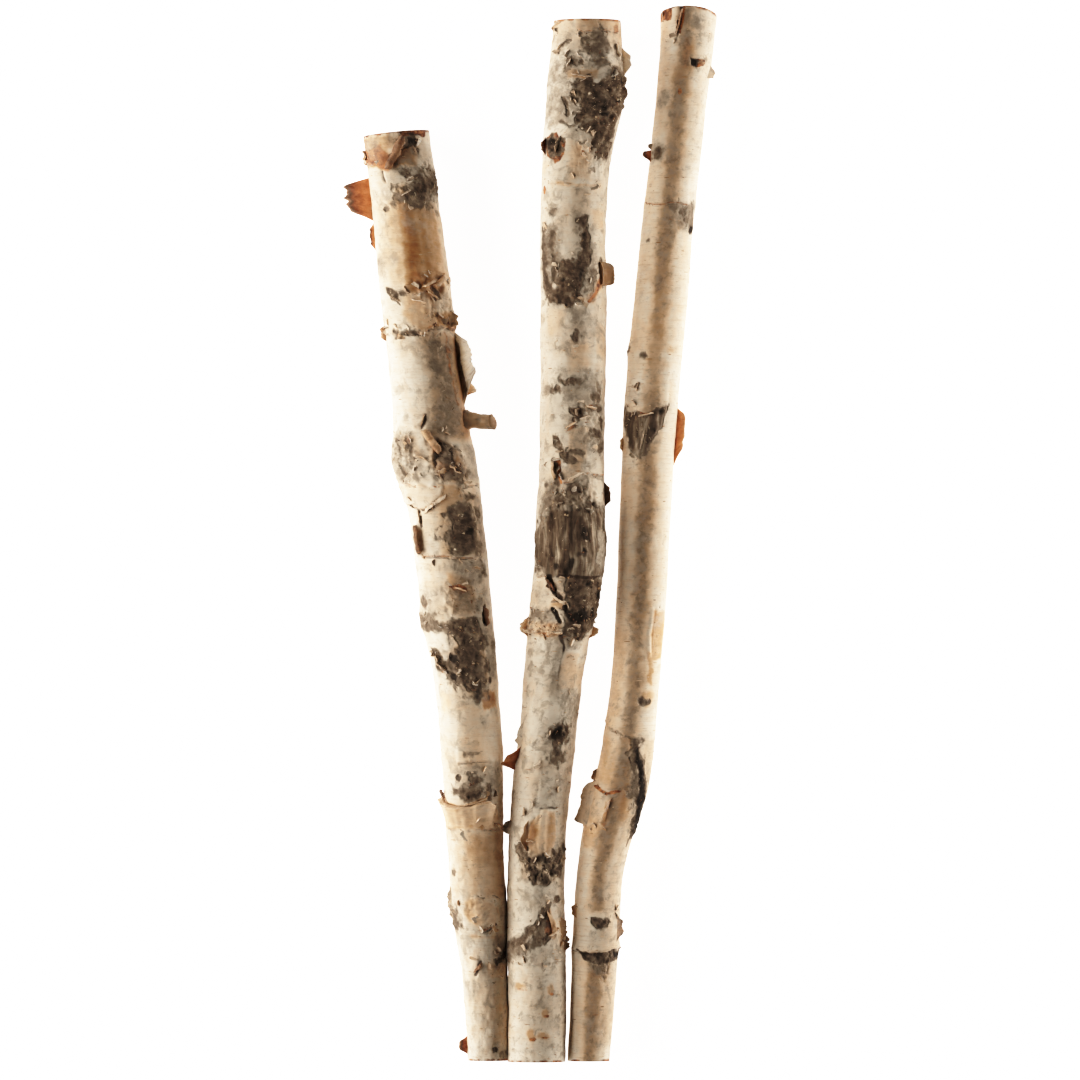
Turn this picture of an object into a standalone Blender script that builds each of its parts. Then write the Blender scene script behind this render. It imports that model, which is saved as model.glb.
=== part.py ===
"""A bundle of three birch logs, cut to length and lying side by side on a flat surface.

Blender works in metres with +Z up. The tables below are in millimetres and degrees, and MM
turns them into metres. +Y runs from the foot cuts to the head cuts, +X runs across the bundle
towards the slimmest log, and the logs rest on the plane z = 0. A place on a log's bark is given
as (along, turn): along is the distance from the foot cuts, and turn is the angle round the log,
0 at its +X side, 90 on top, 180 at its -X side and 270 underneath.

Each log is one grown piece: its knots, layered bark, rolled peels and twig stub are part of it.
"""

import math

import bpy
import bmesh
import numpy as np
from mathutils import Vector

MM = 0.001

# Driving dimensions.
BEVEL_ROUNDS = 7  # a bevel resolution of 7 gives each log 18 sides
SIDES = 18
RING_STEP = 14.5
LEDGE_GAP = 2.2  # the run over which the bark steps from one layer to the next
SETTLING = 150.0  # a log's centre line rises and falls with its girth averaged over this length
REST_FLAT = 0.6  # how far the two lowest places of a log are pressed flat where it rests
PEEL_THICKNESS = 1.5
ROOT_DEPTH = 3.0  # how deep a peel's or a stub's root runs inside the log

BUNDLE = "birch_log_bundle"
PEELS = "peels_joined_to_logs"


def clear_scene():
    for obj in list(bpy.data.objects):
        bpy.data.objects.remove(obj, do_unlink=True)


def new_collection(name):
    collection = bpy.data.collections.new(name)
    bpy.context.scene.collection.children.link(collection)
    return collection


def bark_material(name, colour, roughness):
    material = bpy.data.materials.new(name)
    material.use_nodes = True
    shader = material.node_tree.nodes["Principled BSDF"]
    shader.inputs["Base Color"].default_value = (*colour, 1.0)
    shader.inputs["Roughness"].default_value = roughness
    shader.inputs["Metallic"].default_value = 0.0
    material.diffuse_color = (*colour, 1.0)
    return material


def smooth_curve(at, places, values):
    """Values on a smooth curve through the stations: a cubic whose slopes suit both neighbours."""
    places = np.asarray(places, float)
    values = np.asarray(values, float)
    slopes = np.gradient(values, places)
    at = np.clip(at, places[0], places[-1])
    left = np.clip(np.searchsorted(places, at, side="right") - 1, 0, len(places) - 2)
    span = places[left + 1] - places[left]
    t = (at - places[left]) / span
    start = (2 * t**3 - 3 * t**2 + 1) * values[left] + (t**3 - 2 * t**2 + t) * span * slopes[left]
    end = (3 * t**2 - 2 * t**3) * values[left + 1] + (t**3 - t**2) * span * slopes[left + 1]
    return start + end


def turn_between(a, b):
    """The signed angle from b to a in degrees, between -180 and 180."""
    return (a - b + 180.0) % 360.0 - 180.0


class Log:
    """One log: its centre line, its girth, and what stands out of its bark.

    stations  (along, across, girth): the centre line's place across the bundle and the diameter
    knots     (along, turn, half length, half width, height): rounded swellings
    ledges    (along, turn, half span in degrees, step): where a layer of bark ends, and the
              bark on the head side of the line stands higher by the step
    foot, head  the saw cuts' slopes: (rise to +X, rise to +Z), 0 for a square cut
    """

    def __init__(self, name, stations, knots, ledges, foot, head, oval):
        self.name = name
        self.places, self.across, self.girths = (list(column) for column in zip(*stations))
        self.knots = knots
        self.ledges = ledges
        self.foot = foot
        self.head = head
        self.oval = oval
        self.length = self.places[-1]
        self.rest = (0.0, 0.0)
        self.rest = self.resting_line()

    def radius(self, along):
        return smooth_curve(along, self.places, self.girths) / 2

    def centre(self, along):
        return smooth_curve(along, self.places, self.across)

    def height(self, along):
        """The centre line's height: the radius averaged over a stretch, tipped until the log rests."""
        along = np.asarray(along, float)
        window = np.linspace(-SETTLING / 2, SETTLING / 2, 15)
        near = np.clip(along[..., None] + window, 0.0, self.length)
        level, slope = self.rest
        return self.radius(near).mean(axis=-1) - level - slope * along

    def resting_line(self):
        """(level, slope) of the line that touches the underside on both sides of the balance point."""
        half_side = math.pi / SIDES
        places = self.ring_places()
        under = [
            float(self.height(a)) - (float(self.radius(a)) + self.relief(a, 270.0)) * math.cos(half_side)
            for a in places
        ]
        balance = np.average(places, weights=self.radius(places) ** 2)
        for i, foot_side in enumerate(places):
            for j, head_side in enumerate(places):
                if not foot_side < balance < head_side:
                    continue
                slope = (under[j] - under[i]) / (head_side - foot_side)
                level = under[i] - slope * foot_side
                if all(u > level + slope * a - 1e-6 for a, u in zip(places, under)):
                    return level + REST_FLAT, slope
        return min(under) + REST_FLAT, 0.0

    def relief(self, along, turn):
        """How far the bark stands out of the plain round trunk here."""
        radius = self.radius(along)
        rise = self.oval * radius * math.cos(math.radians(2 * turn + along * 0.55))
        for place, angle, half_length, half_width, height in self.knots:
            aside = math.radians(turn_between(turn, angle)) * radius
            rise += height * math.exp(-((along - place) / half_length) ** 2 - (aside / half_width) ** 2)
        for place, angle, half_span, step in self.ledges:
            inside = max(0.0, 1.0 - (turn_between(turn, angle) / half_span) ** 2)
            if along > place:
                rise += step * inside**0.5 * math.exp(-(along - place) / 30.0)
        return rise

    def surface(self, along, turn):
        """The bark's point at (along, turn) and the direction straight out of it, in millimetres."""
        angle = math.radians(turn)
        out = Vector((math.cos(angle), 0.0, math.sin(angle)))
        middle = Vector((float(self.centre(along)), along, float(self.height(along))))
        return middle + out * (float(self.radius(along)) + self.relief(along, turn)), out

    def ring_places(self):
        """Where the trunk's rings go: evenly, with a close pair at each ledge."""
        count = round(self.length / RING_STEP)
        even = np.linspace(0.0, self.length, count + 1)
        pairs = [place + side * LEDGE_GAP / 2 for place, *_ in self.ledges for side in (-1, 1)]
        clear = [a for a in even if all(abs(a - pair) > RING_STEP / 3 for pair in pairs)]
        return sorted({float(a) for a in clear + pairs + [0.0, self.length]})


def trunk(log, collection, material):
    """The trunk: a bevelled curve along the centre line, made a mesh, then given its relief."""
    places = log.ring_places()
    curve = bpy.data.curves.new(log.name, "CURVE")
    curve.dimensions = "3D"
    curve.bevel_depth = MM  # so that a point's radius reads in millimetres
    curve.bevel_resolution = BEVEL_ROUNDS
    curve.use_fill_caps = True
    spline = curve.splines.new("POLY")
    spline.points.add(len(places) - 1)
    for point, along in zip(spline.points, places):
        middle = (float(log.centre(along)), along, float(log.height(along)))
        point.co = (*(Vector(middle) * MM), 1.0)
        point.radius = float(log.radius(along))
    guide = bpy.data.objects.new(log.name + "_guide", curve)
    collection.objects.link(guide)

    graph = bpy.context.evaluated_depsgraph_get()
    mesh = bpy.data.meshes.new_from_object(guide.evaluated_get(graph))
    mesh.name = log.name
    obj = bpy.data.objects.new(log.name, mesh)
    obj.matrix_world = guide.matrix_world
    collection.objects.link(obj)
    bpy.data.objects.remove(guide)

    shaped = bmesh.new()
    shaped.from_mesh(mesh)
    bmesh.ops.remove_doubles(shaped, verts=shaped.verts, dist=0.01 * MM)
    for vertex in shaped.verts:
        vertex.co = shaped_point(log, vertex.co / MM) * MM
    bmesh.ops.recalc_face_normals(shaped, faces=shaped.faces)
    shaped.to_mesh(mesh)
    shaped.free()
    mesh.materials.clear()
    mesh.materials.append(material)
    mesh.shade_smooth()
    mesh.set_sharp_from_angle(angle=math.radians(40))
    return obj


def shaped_point(log, point):
    """A trunk vertex moved out by the relief, onto its saw cut at an end, and never below z = 0."""
    along = min(max(point.y, 0.0), log.length)
    middle = Vector((float(log.centre(along)), point.y, float(log.height(along))))
    spoke = point - middle
    spoke.y = 0.0
    turn = math.degrees(math.atan2(spoke.z, spoke.x))
    radius = float(log.radius(along)) + log.relief(along, turn)
    moved = Vector((0.0, point.y, 0.0)) + Vector((middle.x, 0.0, middle.z)) + spoke.normalized() * radius
    near_end = RING_STEP / 2
    if along < near_end:
        moved.y = log.foot[0] * (moved.x - middle.x) + log.foot[1] * (moved.z - middle.z)
    if along > log.length - near_end:
        moved.y = log.length + log.head[0] * (moved.x - middle.x) + log.head[1] * (moved.z - middle.z)
    moved.z = max(moved.z, 0.0)
    return moved


def join(obj, extra):
    """Joins a helper to a log with a Boolean union, and keeps the helper out of the model."""
    union = obj.modifiers.new(extra.name, "BOOLEAN")
    union.operation = "UNION"
    union.solver = "EXACT"
    union.object = extra
    extra.hide_render = True
    extra.display_type = "WIRE"


def peel(
    log, obj, collection, name, along, turn, lean, root, width, lift, roll, taper=0.3, to_head=0.0
):
    """A sheet of bark that has let go of the log along three sides and curls away from it.

    root     length of the line where it is still attached, centred on (along, turn)
    lean     that line's direction: 0 along the log, 90 round it
    width    how far the sheet reaches from the root; positive leaves towards a larger turn
    lift     its angle to the bark at the root, and roll how much further it turns by its free edge
    taper    how much shorter the free edge is than the root, 0 for none
    to_head  how far the free edge is shifted along the root line
    """
    steps_root, steps_width = 4, 3
    side = math.copysign(1.0, width)
    axis = Vector((0.0, 1.0, 0.0))
    cos_lean, sin_lean = math.cos(math.radians(lean)), math.sin(math.radians(lean))
    radius = float(log.radius(along))
    sheet = bmesh.new()
    rows = []
    for i in range(steps_root + 1):
        t = i / steps_root - 0.5
        row_along = along + cos_lean * root * t
        row_turn = turn + math.degrees(sin_lean * root * t / radius)
        point, out = log.surface(row_along, row_turn)
        round_log = Vector((-out.z, 0.0, out.x))
        leave = (axis * -sin_lean + round_log * cos_lean) * side
        stay = axis * cos_lean + round_log * sin_lean
        row = [sheet.verts.new((point - out * ROOT_DEPTH) * MM)]
        place = point - out * PEEL_THICKNESS / 2
        row.append(sheet.verts.new(place * MM))
        step = abs(width) / steps_width
        for j in range(steps_width):
            angle = math.radians(lift + roll * (j + 0.5) / steps_width)
            place = place + (leave * math.cos(angle) + out * math.sin(angle)) * step
            reached = (j + 1) / steps_width
            slid = stay * (to_head * reached - root * t * taper * reached)
            row.append(sheet.verts.new((place + slid) * MM))
        rows.append(row)
    for first, second in zip(rows, rows[1:]):
        for j in range(len(first) - 1):
            sheet.faces.new((first[j], second[j], second[j + 1], first[j + 1]))
    mesh = bpy.data.meshes.new(f"{log.name}_{name}")
    sheet.to_mesh(mesh)
    sheet.free()
    helper = bpy.data.objects.new(mesh.name, mesh)
    collection.objects.link(helper)
    wall = helper.modifiers.new("Solidify", "SOLIDIFY")
    wall.thickness = PEEL_THICKNESS * MM
    wall.offset = 0.0
    join(obj, helper)


def stub(log, obj, collection, name, along, turn, length, girth, tilt):
    """A cut twig that stands out of the log, tilted towards the head."""
    point, out = log.surface(along, turn)
    direction = (out + Vector((0.0, math.tan(math.radians(tilt)), 0.0))).normalized()
    reach = length + 2 * ROOT_DEPTH
    bpy.ops.mesh.primitive_cone_add(
        vertices=10,
        radius1=girth / 2 * 1.15 * MM,
        radius2=girth / 2 * MM,
        depth=reach * MM,
        location=(point + direction * (reach / 2 - 2 * ROOT_DEPTH)) * MM,
        rotation=direction.to_track_quat("Z", "Y").to_euler(),
    )
    helper = bpy.context.object
    helper.name = f"{log.name}_{name}"
    for owner in list(helper.users_collection):
        owner.objects.unlink(helper)
    collection.objects.link(helper)
    join(obj, helper)


def left_log(parts, helpers, material):
    log = Log(
        "left_log",
        stations=[
            (0, -39.2, 35.5), (45, -40.6, 37.5), (90, -43.4, 41.5), (135, -47, 48),
            (180, -49.8, 50), (225, -51.6, 53), (280, -54, 57), (330, -57.5, 58),
            (385, -64, 62.5), (440, -71, 66), (500, -78.5, 67.5), (542, -86.5, 73.5),
            (575, -90.5, 66), (615, -95.2, 63.2), (700, -105, 63.5), (765, -112.5, 60),
            (835, -121.5, 59),
        ],
        knots=[
            (536, 65, 20, 16, 4), (536, 165, 26, 14, 2.5), (470, 60, 34, 18, 1.5),
            (398, 178, 22, 16, 2), (330, 100, 40, 20, 1.2), (250, 92, 14, 14, 2),
            (128, 80, 14, 26, 1.6), (86, 105, 10, 8, 1.4), (775, 62, 18, 16, 1.2),
        ],
        ledges=[(654, 90, 100, 1.4), (517, 110, 80, 1.4), (455, 120, 70, 1.2), (272, 90, 90, 1.2)],
        foot=(0.0, 0.12),
        head=(0.10, -0.06),
        oval=0.018,
    )
    obj = trunk(log, parts, material)

    def strip(name, **sizes):
        peel(log, obj, helpers, name, **sizes)

    strip("edge_flap", along=776, turn=188, lean=0, root=38, width=-27, lift=48, roll=60, taper=0.5)
    strip("edge_ribbon", along=742, turn=178, lean=0, root=28, width=-6, lift=40, roll=40)
    strip("bowed_strip", along=623, turn=8, lean=0, root=68, width=18, lift=44, roll=22, taper=0.5, to_head=9)
    strip("knot_curl", along=561, turn=100, lean=35, root=20, width=8, lift=40, roll=60)
    strip("cuff", along=212, turn=98, lean=90, root=60, width=-19, lift=9, roll=10, taper=0.05)
    strip("cuff_curl", along=216, turn=42, lean=70, root=18, width=-14, lift=35, roll=75)
    strip("low_ribbon", along=142, turn=182, lean=0, root=40, width=-6, lift=50, roll=30, taper=0.4)
    strip("foot_flap", along=14, turn=182, lean=0, root=18, width=-9, lift=55, roll=30)
    stub(log, obj, helpers, "twig_stub", along=577, turn=14, length=25, girth=13, tilt=-4)
    return log


def middle_log(parts, helpers, material):
    log = Log(
        "middle_log",
        stations=[
            (0, 5.2, 49.2), (60, 5.4, 50.5), (110, 4.6, 50.8), (160, 4.2, 50.6),
            (205, 5.4, 51.6), (255, 9.6, 53), (300, 15.4, 52.5), (355, 20.6, 54.5),
            (405, 28.2, 60.5), (440, 33, 63), (485, 34.8, 62), (530, 35.9, 58.4),
            (600, 37, 58.5), (700, 37.7, 59), (780, 38, 59.2), (820, 41.6, 63),
            (860, 47, 68), (890, 49, 67.5), (915, 49.8, 63), (936, 50.2, 61),
        ],
        knots=[
            (470, 92, 34, 24, 3), (410, 70, 26, 18, 2.4), (545, 78, 12, 10, 1.6),
            (713, 90, 26, 18, 2.2), (868, 55, 26, 20, 3), (868, 5, 16, 14, 1.5),
            (625, 90, 14, 20, 1), (318, 88, 16, 12, 1.4), (182, 80, 16, 20, 2),
            (125, 80, 22, 16, 1.6), (645, 75, 9, 7, 1),
        ],
        ledges=[(786, 90, 100, 1), (520, 95, 90, 1.6), (388, 95, 90, 1.6), (92, 90, 110, 1)],
        foot=(0.0, 0.12),
        head=(0.0, -0.08),
        oval=0.015,
    )
    obj = trunk(log, parts, material)

    def strip(name, **sizes):
        peel(log, obj, helpers, name, **sizes)

    strip("head_peel", along=899, turn=2, lean=0, root=28, width=10, lift=52, roll=30, taper=0.5)
    strip("diamond_curl", along=820, turn=158, lean=12, root=24, width=-11, lift=45, roll=60, taper=0.6)
    strip("box_curl", along=707, turn=2, lean=0, root=25, width=10, lift=60, roll=40, taper=0.1)
    strip("side_ribbon", along=511, turn=4, lean=0, root=24, width=7, lift=50, roll=30)
    strip("left_shred", along=392, turn=172, lean=20, root=14, width=-6, lift=45, roll=40)
    strip("junction_peel", along=274, turn=160, lean=-20, root=22, width=-15, lift=62, roll=30, taper=0.5)
    strip("window_flap", along=205, turn=112, lean=0, root=34, width=8, lift=25, roll=60, taper=0.4)
    strip("foot_shred", along=116, turn=8, lean=0, root=30, width=7, lift=52, roll=30)
    return log


def right_log(parts, helpers, material):
    log = Log(
        "right_log",
        stations=[
            (0, 51.4, 37.5), (60, 55.4, 40), (120, 58, 41), (170, 61.8, 42),
            (205, 68.6, 46.4), (235, 76.6, 49.6), (270, 84.2, 48.6), (305, 89.4, 46),
            (400, 98, 45.4), (500, 102.8, 46), (600, 108.4, 47.4), (690, 117, 47.6),
            (760, 123.4, 45.8), (820, 130, 46), (875, 136, 46.6), (912, 140, 49),
            (941, 141.6, 52.4),
        ],
        knots=[
            (770, 90, 7, 60, 0.9), (570, 112, 24, 14, 1.6), (298, 90, 8, 60, 1),
            (250, 22, 34, 9, 2.4), (100, 90, 8, 60, 1.2), (128, 84, 9, 9, 1.6),
            (888, 65, 6, 8, 1.4), (700, 152, 8, 8, 1), (640, 168, 14, 9, 1.4),
        ],
        ledges=[(96, 90, 120, 1.3), (252, 120, 70, 1.1), (766, 90, 110, 0.8)],
        foot=(0.0, 0.12),
        head=(-0.04, 0.22),
        oval=0.02,
    )
    obj = trunk(log, parts, material)

    def strip(name, **sizes):
        peel(log, obj, helpers, name, **sizes)

    strip("side_flap", along=562, turn=4, lean=0, root=54, width=10, lift=55, roll=25, taper=0.35, to_head=5)
    strip("cuff_flap", along=234, turn=176, lean=0, root=38, width=-13, lift=45, roll=30, taper=0.2)
    strip("nub", along=816, turn=176, lean=30, root=14, width=-8, lift=50, roll=30)
    strip("foot_flap", along=119, turn=6, lean=0, root=28, width=8, lift=48, roll=30)
    strip("head_nub", along=891, turn=6, lean=0, root=13, width=6, lift=50, roll=30)
    return log


def centre_over_origin(parts):
    """Slides the whole bundle so that the origin is under the middle of its box."""
    graph = bpy.context.evaluated_depsgraph_get()
    corners = []
    for obj in parts.objects:
        mesh = obj.evaluated_get(graph).to_mesh()
        corners += [obj.matrix_world @ vertex.co for vertex in mesh.vertices]
    low = Vector([min(corner[k] for corner in corners) for k in range(3)])
    high = Vector([max(corner[k] for corner in corners) for k in range(3)])
    slide = Vector(((low.x + high.x) / 2, (low.y + high.y) / 2, 0.0))
    for obj in bpy.data.objects:
        for vertex in obj.data.vertices:
            vertex.co = obj.matrix_world @ vertex.co - slide
        obj.location = (0.0, 0.0, 0.0)
        obj.rotation_euler = (0.0, 0.0, 0.0)
    print("slide, mm:", [round(value / MM, 3) for value in slide])
    print("size, mm:", [round(value / MM, 2) for value in high - low])


def main():
    clear_scene()
    parts = new_collection(BUNDLE)
    helpers = new_collection(PEELS)
    left_log(parts, helpers, bark_material("left_birch_bark", (0.74, 0.62, 0.50), 0.75))
    middle_log(parts, helpers, bark_material("middle_birch_bark", (0.78, 0.71, 0.62), 0.75))
    right_log(parts, helpers, bark_material("right_birch_bark", (0.80, 0.68, 0.55), 0.7))
    bpy.context.view_layer.update()
    centre_over_origin(parts)


main()
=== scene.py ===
# %% [markdown]
# # A bundle of birch logs
#
# Three slim birch logs lie side by side on a pale floor, fanned out towards their heads. The
# solids that carry the bundle are fixed already, so this lesson only dresses them: it gives each
# log its bark, its peels and its saw cuts, and then lights them. The first cell loads the solids.

import math

import bmesh
import bpy
import numpy as np
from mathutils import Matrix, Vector


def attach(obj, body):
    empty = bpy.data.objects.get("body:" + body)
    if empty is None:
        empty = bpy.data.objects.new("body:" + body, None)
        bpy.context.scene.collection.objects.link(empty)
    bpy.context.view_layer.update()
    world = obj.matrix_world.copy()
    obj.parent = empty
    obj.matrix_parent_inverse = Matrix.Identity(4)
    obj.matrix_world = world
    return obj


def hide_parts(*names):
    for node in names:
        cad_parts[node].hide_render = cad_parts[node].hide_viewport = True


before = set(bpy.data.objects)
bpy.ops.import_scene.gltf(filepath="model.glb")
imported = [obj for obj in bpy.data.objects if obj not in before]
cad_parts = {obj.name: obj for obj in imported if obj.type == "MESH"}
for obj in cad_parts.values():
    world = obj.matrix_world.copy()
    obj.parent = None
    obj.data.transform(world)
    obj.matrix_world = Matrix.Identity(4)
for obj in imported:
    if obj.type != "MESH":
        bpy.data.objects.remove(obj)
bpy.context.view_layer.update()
BODY = "root"
MM = 0.001

# %% [markdown]
# ## Where a place on a log is
#
# A log is close to a bent, tapering cylinder, so the handiest way to say where a knot or a scar
# sits is (along, turn): how far it is from the foot cut, in millimetres, and how far round the
# log it is, in degrees. Turn is 0 at the log's +X side, 90 on top and 180 at its -X side. The
# same stations that shaped the solids are used here: at each one the centre line's place across
# the bundle and the log's girth are known, and a cubic runs smoothly through them.

# %% Helpers for smooth curves and turns
SETTLING = 150.0  # a log's centre line rises and falls with its girth averaged over this length
ORIGIN_ACROSS, ORIGIN_ALONG = -1.895, 472.053  # the part's origin, in the stations' millimetres


def smooth_curve(at, places, values):
    """Values on a smooth curve through the stations: a cubic whose slopes suit both neighbours."""
    places = np.asarray(places, float)
    values = np.asarray(values, float)
    slopes = np.gradient(values, places)
    at = np.clip(at, places[0], places[-1])
    left = np.clip(np.searchsorted(places, at, side="right") - 1, 0, len(places) - 2)
    span = places[left + 1] - places[left]
    t = (at - places[left]) / span
    start = (2 * t**3 - 3 * t**2 + 1) * values[left] + (t**3 - 2 * t**2 + t) * span * slopes[left]
    end = (3 * t**2 - 2 * t**3) * values[left + 1] + (t**3 - t**2) * span * slopes[left + 1]
    return start + end


def turn_between(a, b):
    """The signed angle from b to a in degrees, between -180 and 180."""
    return (a - b + 180.0) % 360.0 - 180.0


def ramp(value, low, high):
    """0 below low, 1 above high, and a smooth rise between them."""
    t = np.clip((value - low) / (high - low), 0.0, 1.0)
    return t * t * (3 - 2 * t)


class Log:
    """A log's plain shape: stations (along, across, girth), knots, and the slopes of its saw cuts."""

    def __init__(self, name, stations, knots, foot, head, oval, level, slope):
        self.name = name
        self.places, self.across, self.girths = (list(column) for column in zip(*stations))
        self.knots = knots
        self.foot = foot
        self.head = head
        self.oval = oval
        self.level = level
        self.slope = slope
        self.length = float(self.places[-1])

    def radius(self, along):
        return smooth_curve(along, self.places, self.girths) / 2

    def centre(self, along):
        return smooth_curve(along, self.places, self.across)

    def height(self, along):
        """The centre line's height over the floor, once the log has tipped onto its two rests."""
        along = np.asarray(along, float)
        window = np.linspace(-SETTLING / 2, SETTLING / 2, 15)
        near = np.clip(along[..., None] + window, 0.0, self.length)
        return self.radius(near).mean(axis=-1) - self.level - self.slope * along

    def swelling(self, along, turn):
        """How far the knots and the uneven growth stand out of the round trunk."""
        radius = self.radius(along)
        rise = self.oval * radius * np.cos(np.radians(2 * turn + along * 0.55))
        for place, angle, half_length, half_width, height in self.knots:
            aside = np.radians(turn_between(turn, angle)) * radius
            rise += height * np.exp(-(((along - place) / half_length) ** 2) - (aside / half_width) ** 2)
        return rise


# %% The three logs
left = Log(
    "left_log",
    stations=[
        (0, -39.2, 35.5), (45, -40.6, 37.5), (90, -43.4, 41.5), (135, -47, 48),
        (180, -49.8, 50), (225, -51.6, 53), (280, -54, 57), (330, -57.5, 58),
        (385, -64, 62.5), (440, -71, 66), (500, -78.5, 67.5), (542, -86.5, 73.5),
        (575, -90.5, 66), (615, -95.2, 63.2), (700, -105, 63.5), (765, -112.5, 60),
        (835, -121.5, 59),
    ],
    knots=[
        (536, 65, 20, 16, 4), (536, 165, 26, 14, 2.5), (470, 60, 34, 18, 1.5),
        (398, 178, 22, 16, 2), (330, 100, 40, 20, 1.2), (250, 92, 14, 14, 2),
        (128, 80, 14, 26, 1.6), (86, 105, 10, 8, 1.4), (775, 62, 18, 16, 1.2),
    ],
    foot=(0.0, 0.12), head=(0.10, -0.06), oval=0.018, level=0.80, slope=-0.00388,
)
middle = Log(
    "middle_log",
    stations=[
        (0, 5.2, 49.2), (60, 5.4, 50.5), (110, 4.6, 50.8), (160, 4.2, 50.6),
        (205, 5.4, 51.6), (255, 9.6, 53), (300, 15.4, 52.5), (355, 20.6, 54.5),
        (405, 28.2, 60.5), (440, 33, 63), (485, 34.8, 62), (530, 35.9, 58.4),
        (600, 37, 58.5), (700, 37.7, 59), (780, 38, 59.2), (820, 41.6, 63),
        (860, 47, 68), (890, 49, 67.5), (915, 49.8, 63), (936, 50.2, 61),
    ],
    knots=[
        (470, 92, 34, 24, 3), (410, 70, 26, 18, 2.4), (545, 78, 12, 10, 1.6),
        (713, 90, 26, 18, 2.2), (868, 55, 26, 20, 3), (868, 5, 16, 14, 1.5),
        (625, 90, 14, 20, 1), (318, 88, 16, 12, 1.4), (182, 80, 16, 20, 2),
        (125, 80, 22, 16, 1.6), (645, 75, 9, 7, 1),
    ],
    foot=(0.0, 0.12), head=(0.0, -0.08), oval=0.015, level=0.52, slope=-0.00181,
)
right = Log(
    "right_log",
    stations=[
        (0, 51.4, 37.5), (60, 55.4, 40), (120, 58, 41), (170, 61.8, 42),
        (205, 68.6, 46.4), (235, 76.6, 49.6), (270, 84.2, 48.6), (305, 89.4, 46),
        (400, 98, 45.4), (500, 102.8, 46), (600, 108.4, 47.4), (690, 117, 47.6),
        (760, 123.4, 45.8), (820, 130, 46), (875, 136, 46.6), (912, 140, 49),
        (941, 141.6, 52.4),
    ],
    knots=[
        (770, 90, 7, 60, 0.9), (570, 112, 24, 14, 1.6), (298, 90, 8, 60, 1),
        (250, 22, 34, 9, 2.4), (100, 90, 8, 60, 1.2), (128, 84, 9, 9, 1.6),
        (888, 65, 6, 8, 1.4), (700, 152, 8, 8, 1), (640, 168, 14, 9, 1.4),
    ],
    foot=(0.0, 0.12), head=(-0.04, 0.22), oval=0.02, level=-0.89, slope=0.00047,
)
LOGS = (left, middle, right)
for log in LOGS:
    print(log.name, "is", round(log.length), "mm long and", round(2 * float(log.radius(500)), 1), "mm thick")

# %% [markdown]
# ## Random clouds that repeat exactly
#
# Bark is full of chance: every layer tears along its own ragged line. The chance here comes from
# value noise. Each corner of a grid gets a value worked out from the corner's whole numbers and a
# seed, and the values between corners are blended. Several sizes are added together. The same
# seed always gives the same bark, and the grid is laid over the log straightened out and stood
# up as a true cylinder, so the clouds meet without a seam round the back.

# %% A cloud function for whole arrays
FINER, FAINTER = 2.03, 0.55  # each octave against the one before it
CLOUD_CONTRAST = 1.6
PRIMES = (374761393, 668265263, 1442695041, 974634777)  # they scramble a corner's whole numbers


def corner_value(i, j, k, seed):
    """A value from 0 to 1 for each whole-number corner."""
    scrambled = sum(number * prime for number, prime in zip((i, j, k, seed), PRIMES)) & 0xFFFFFFFF
    scrambled = ((scrambled ^ (scrambled >> 13)) * 1274126177) & 0xFFFFFFFF
    return ((scrambled ^ (scrambled >> 16)) & 0xFFFF) / 65535.0


def clouds(points, size, seed, octaves):
    """Smooth random values, about -1 to 1, at points (..., 3); size is that of the largest blotch."""
    total = np.zeros(points.shape[:-1])
    weight, weights = 1.0, 0.0
    for octave in range(octaves):
        place = points / np.asarray(size) * FINER**octave + 11.7 * octave + 0.31 * seed
        cell = np.floor(place).astype(np.int64)
        t = place - cell
        t = t * t * (3 - 2 * t)
        value = np.zeros(points.shape[:-1])
        for corner in range(8):
            di, dj, dk = corner & 1, corner >> 1 & 1, corner >> 2
            share = (
                (t[..., 0] if di else 1 - t[..., 0])
                * (t[..., 1] if dj else 1 - t[..., 1])
                * (t[..., 2] if dk else 1 - t[..., 2])
            )
            i, j, k = (cell[..., axis] + step for axis, step in enumerate((di, dj, dk)))
            value += share * corner_value(i, j, k, seed + octave)
        total += weight * (value * 2 - 1)
        weights += weight
        weight *= FAINTER
    return total / weights * CLOUD_CONTRAST


# %% [markdown]
# ## The bark as a painted sheet
#
# One way to model bark is to sculpt it, another is to let the renderer displace it. Here the bark
# is a fine grid wrapped round the log, and a painter adds to two things at once: the height of
# each grid point, and a set of masks that the material reads later. Height and colour then agree
# everywhere: where a layer ends the surface really drops, and the painted shadow line under it
# lies in the step. The grid is finer on top than underneath, where nobody looks.
#
# The masks are scar (dark, broken bark), black (its deepest spots), stripe (scars that run in
# furrows along the log), tan (how far the white has worn down to the inner layers), film (grey
# weathering), rust (torn edges), gap (painted shade in cracks, under lifted edges and in hollows)
# and loose (where shreds grow). Tan and film also carry painted shade along some crowns and
# underneath, and are lowered as painted light where a flank lies in another log's shade.

# %% The painter's grid
ROW_STEP = 1.4
COLUMN_STEP = 1.25
SEAM = -90.0  # the turn where the grid starts and ends, underneath
CUT_REACH = 22.0  # how far along the log the slope of a saw cut is felt
MASKS = ("scar", "black", "stripe", "tan", "film", "rust", "gap", "loose")


def column_turns(count):
    """Turns from underneath right round, closer together on the upper side."""
    fine = np.linspace(SEAM, SEAM + 360.0, 2881)
    weight = 1.0 + 0.85 * ramp(np.sin(np.radians(fine)), -0.55, 0.1)
    reached = np.concatenate([[0.0], np.cumsum((weight[1:] + weight[:-1]) / 2)])
    return np.interp(np.arange(count) / count * reached[-1], reached, fine)


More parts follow.
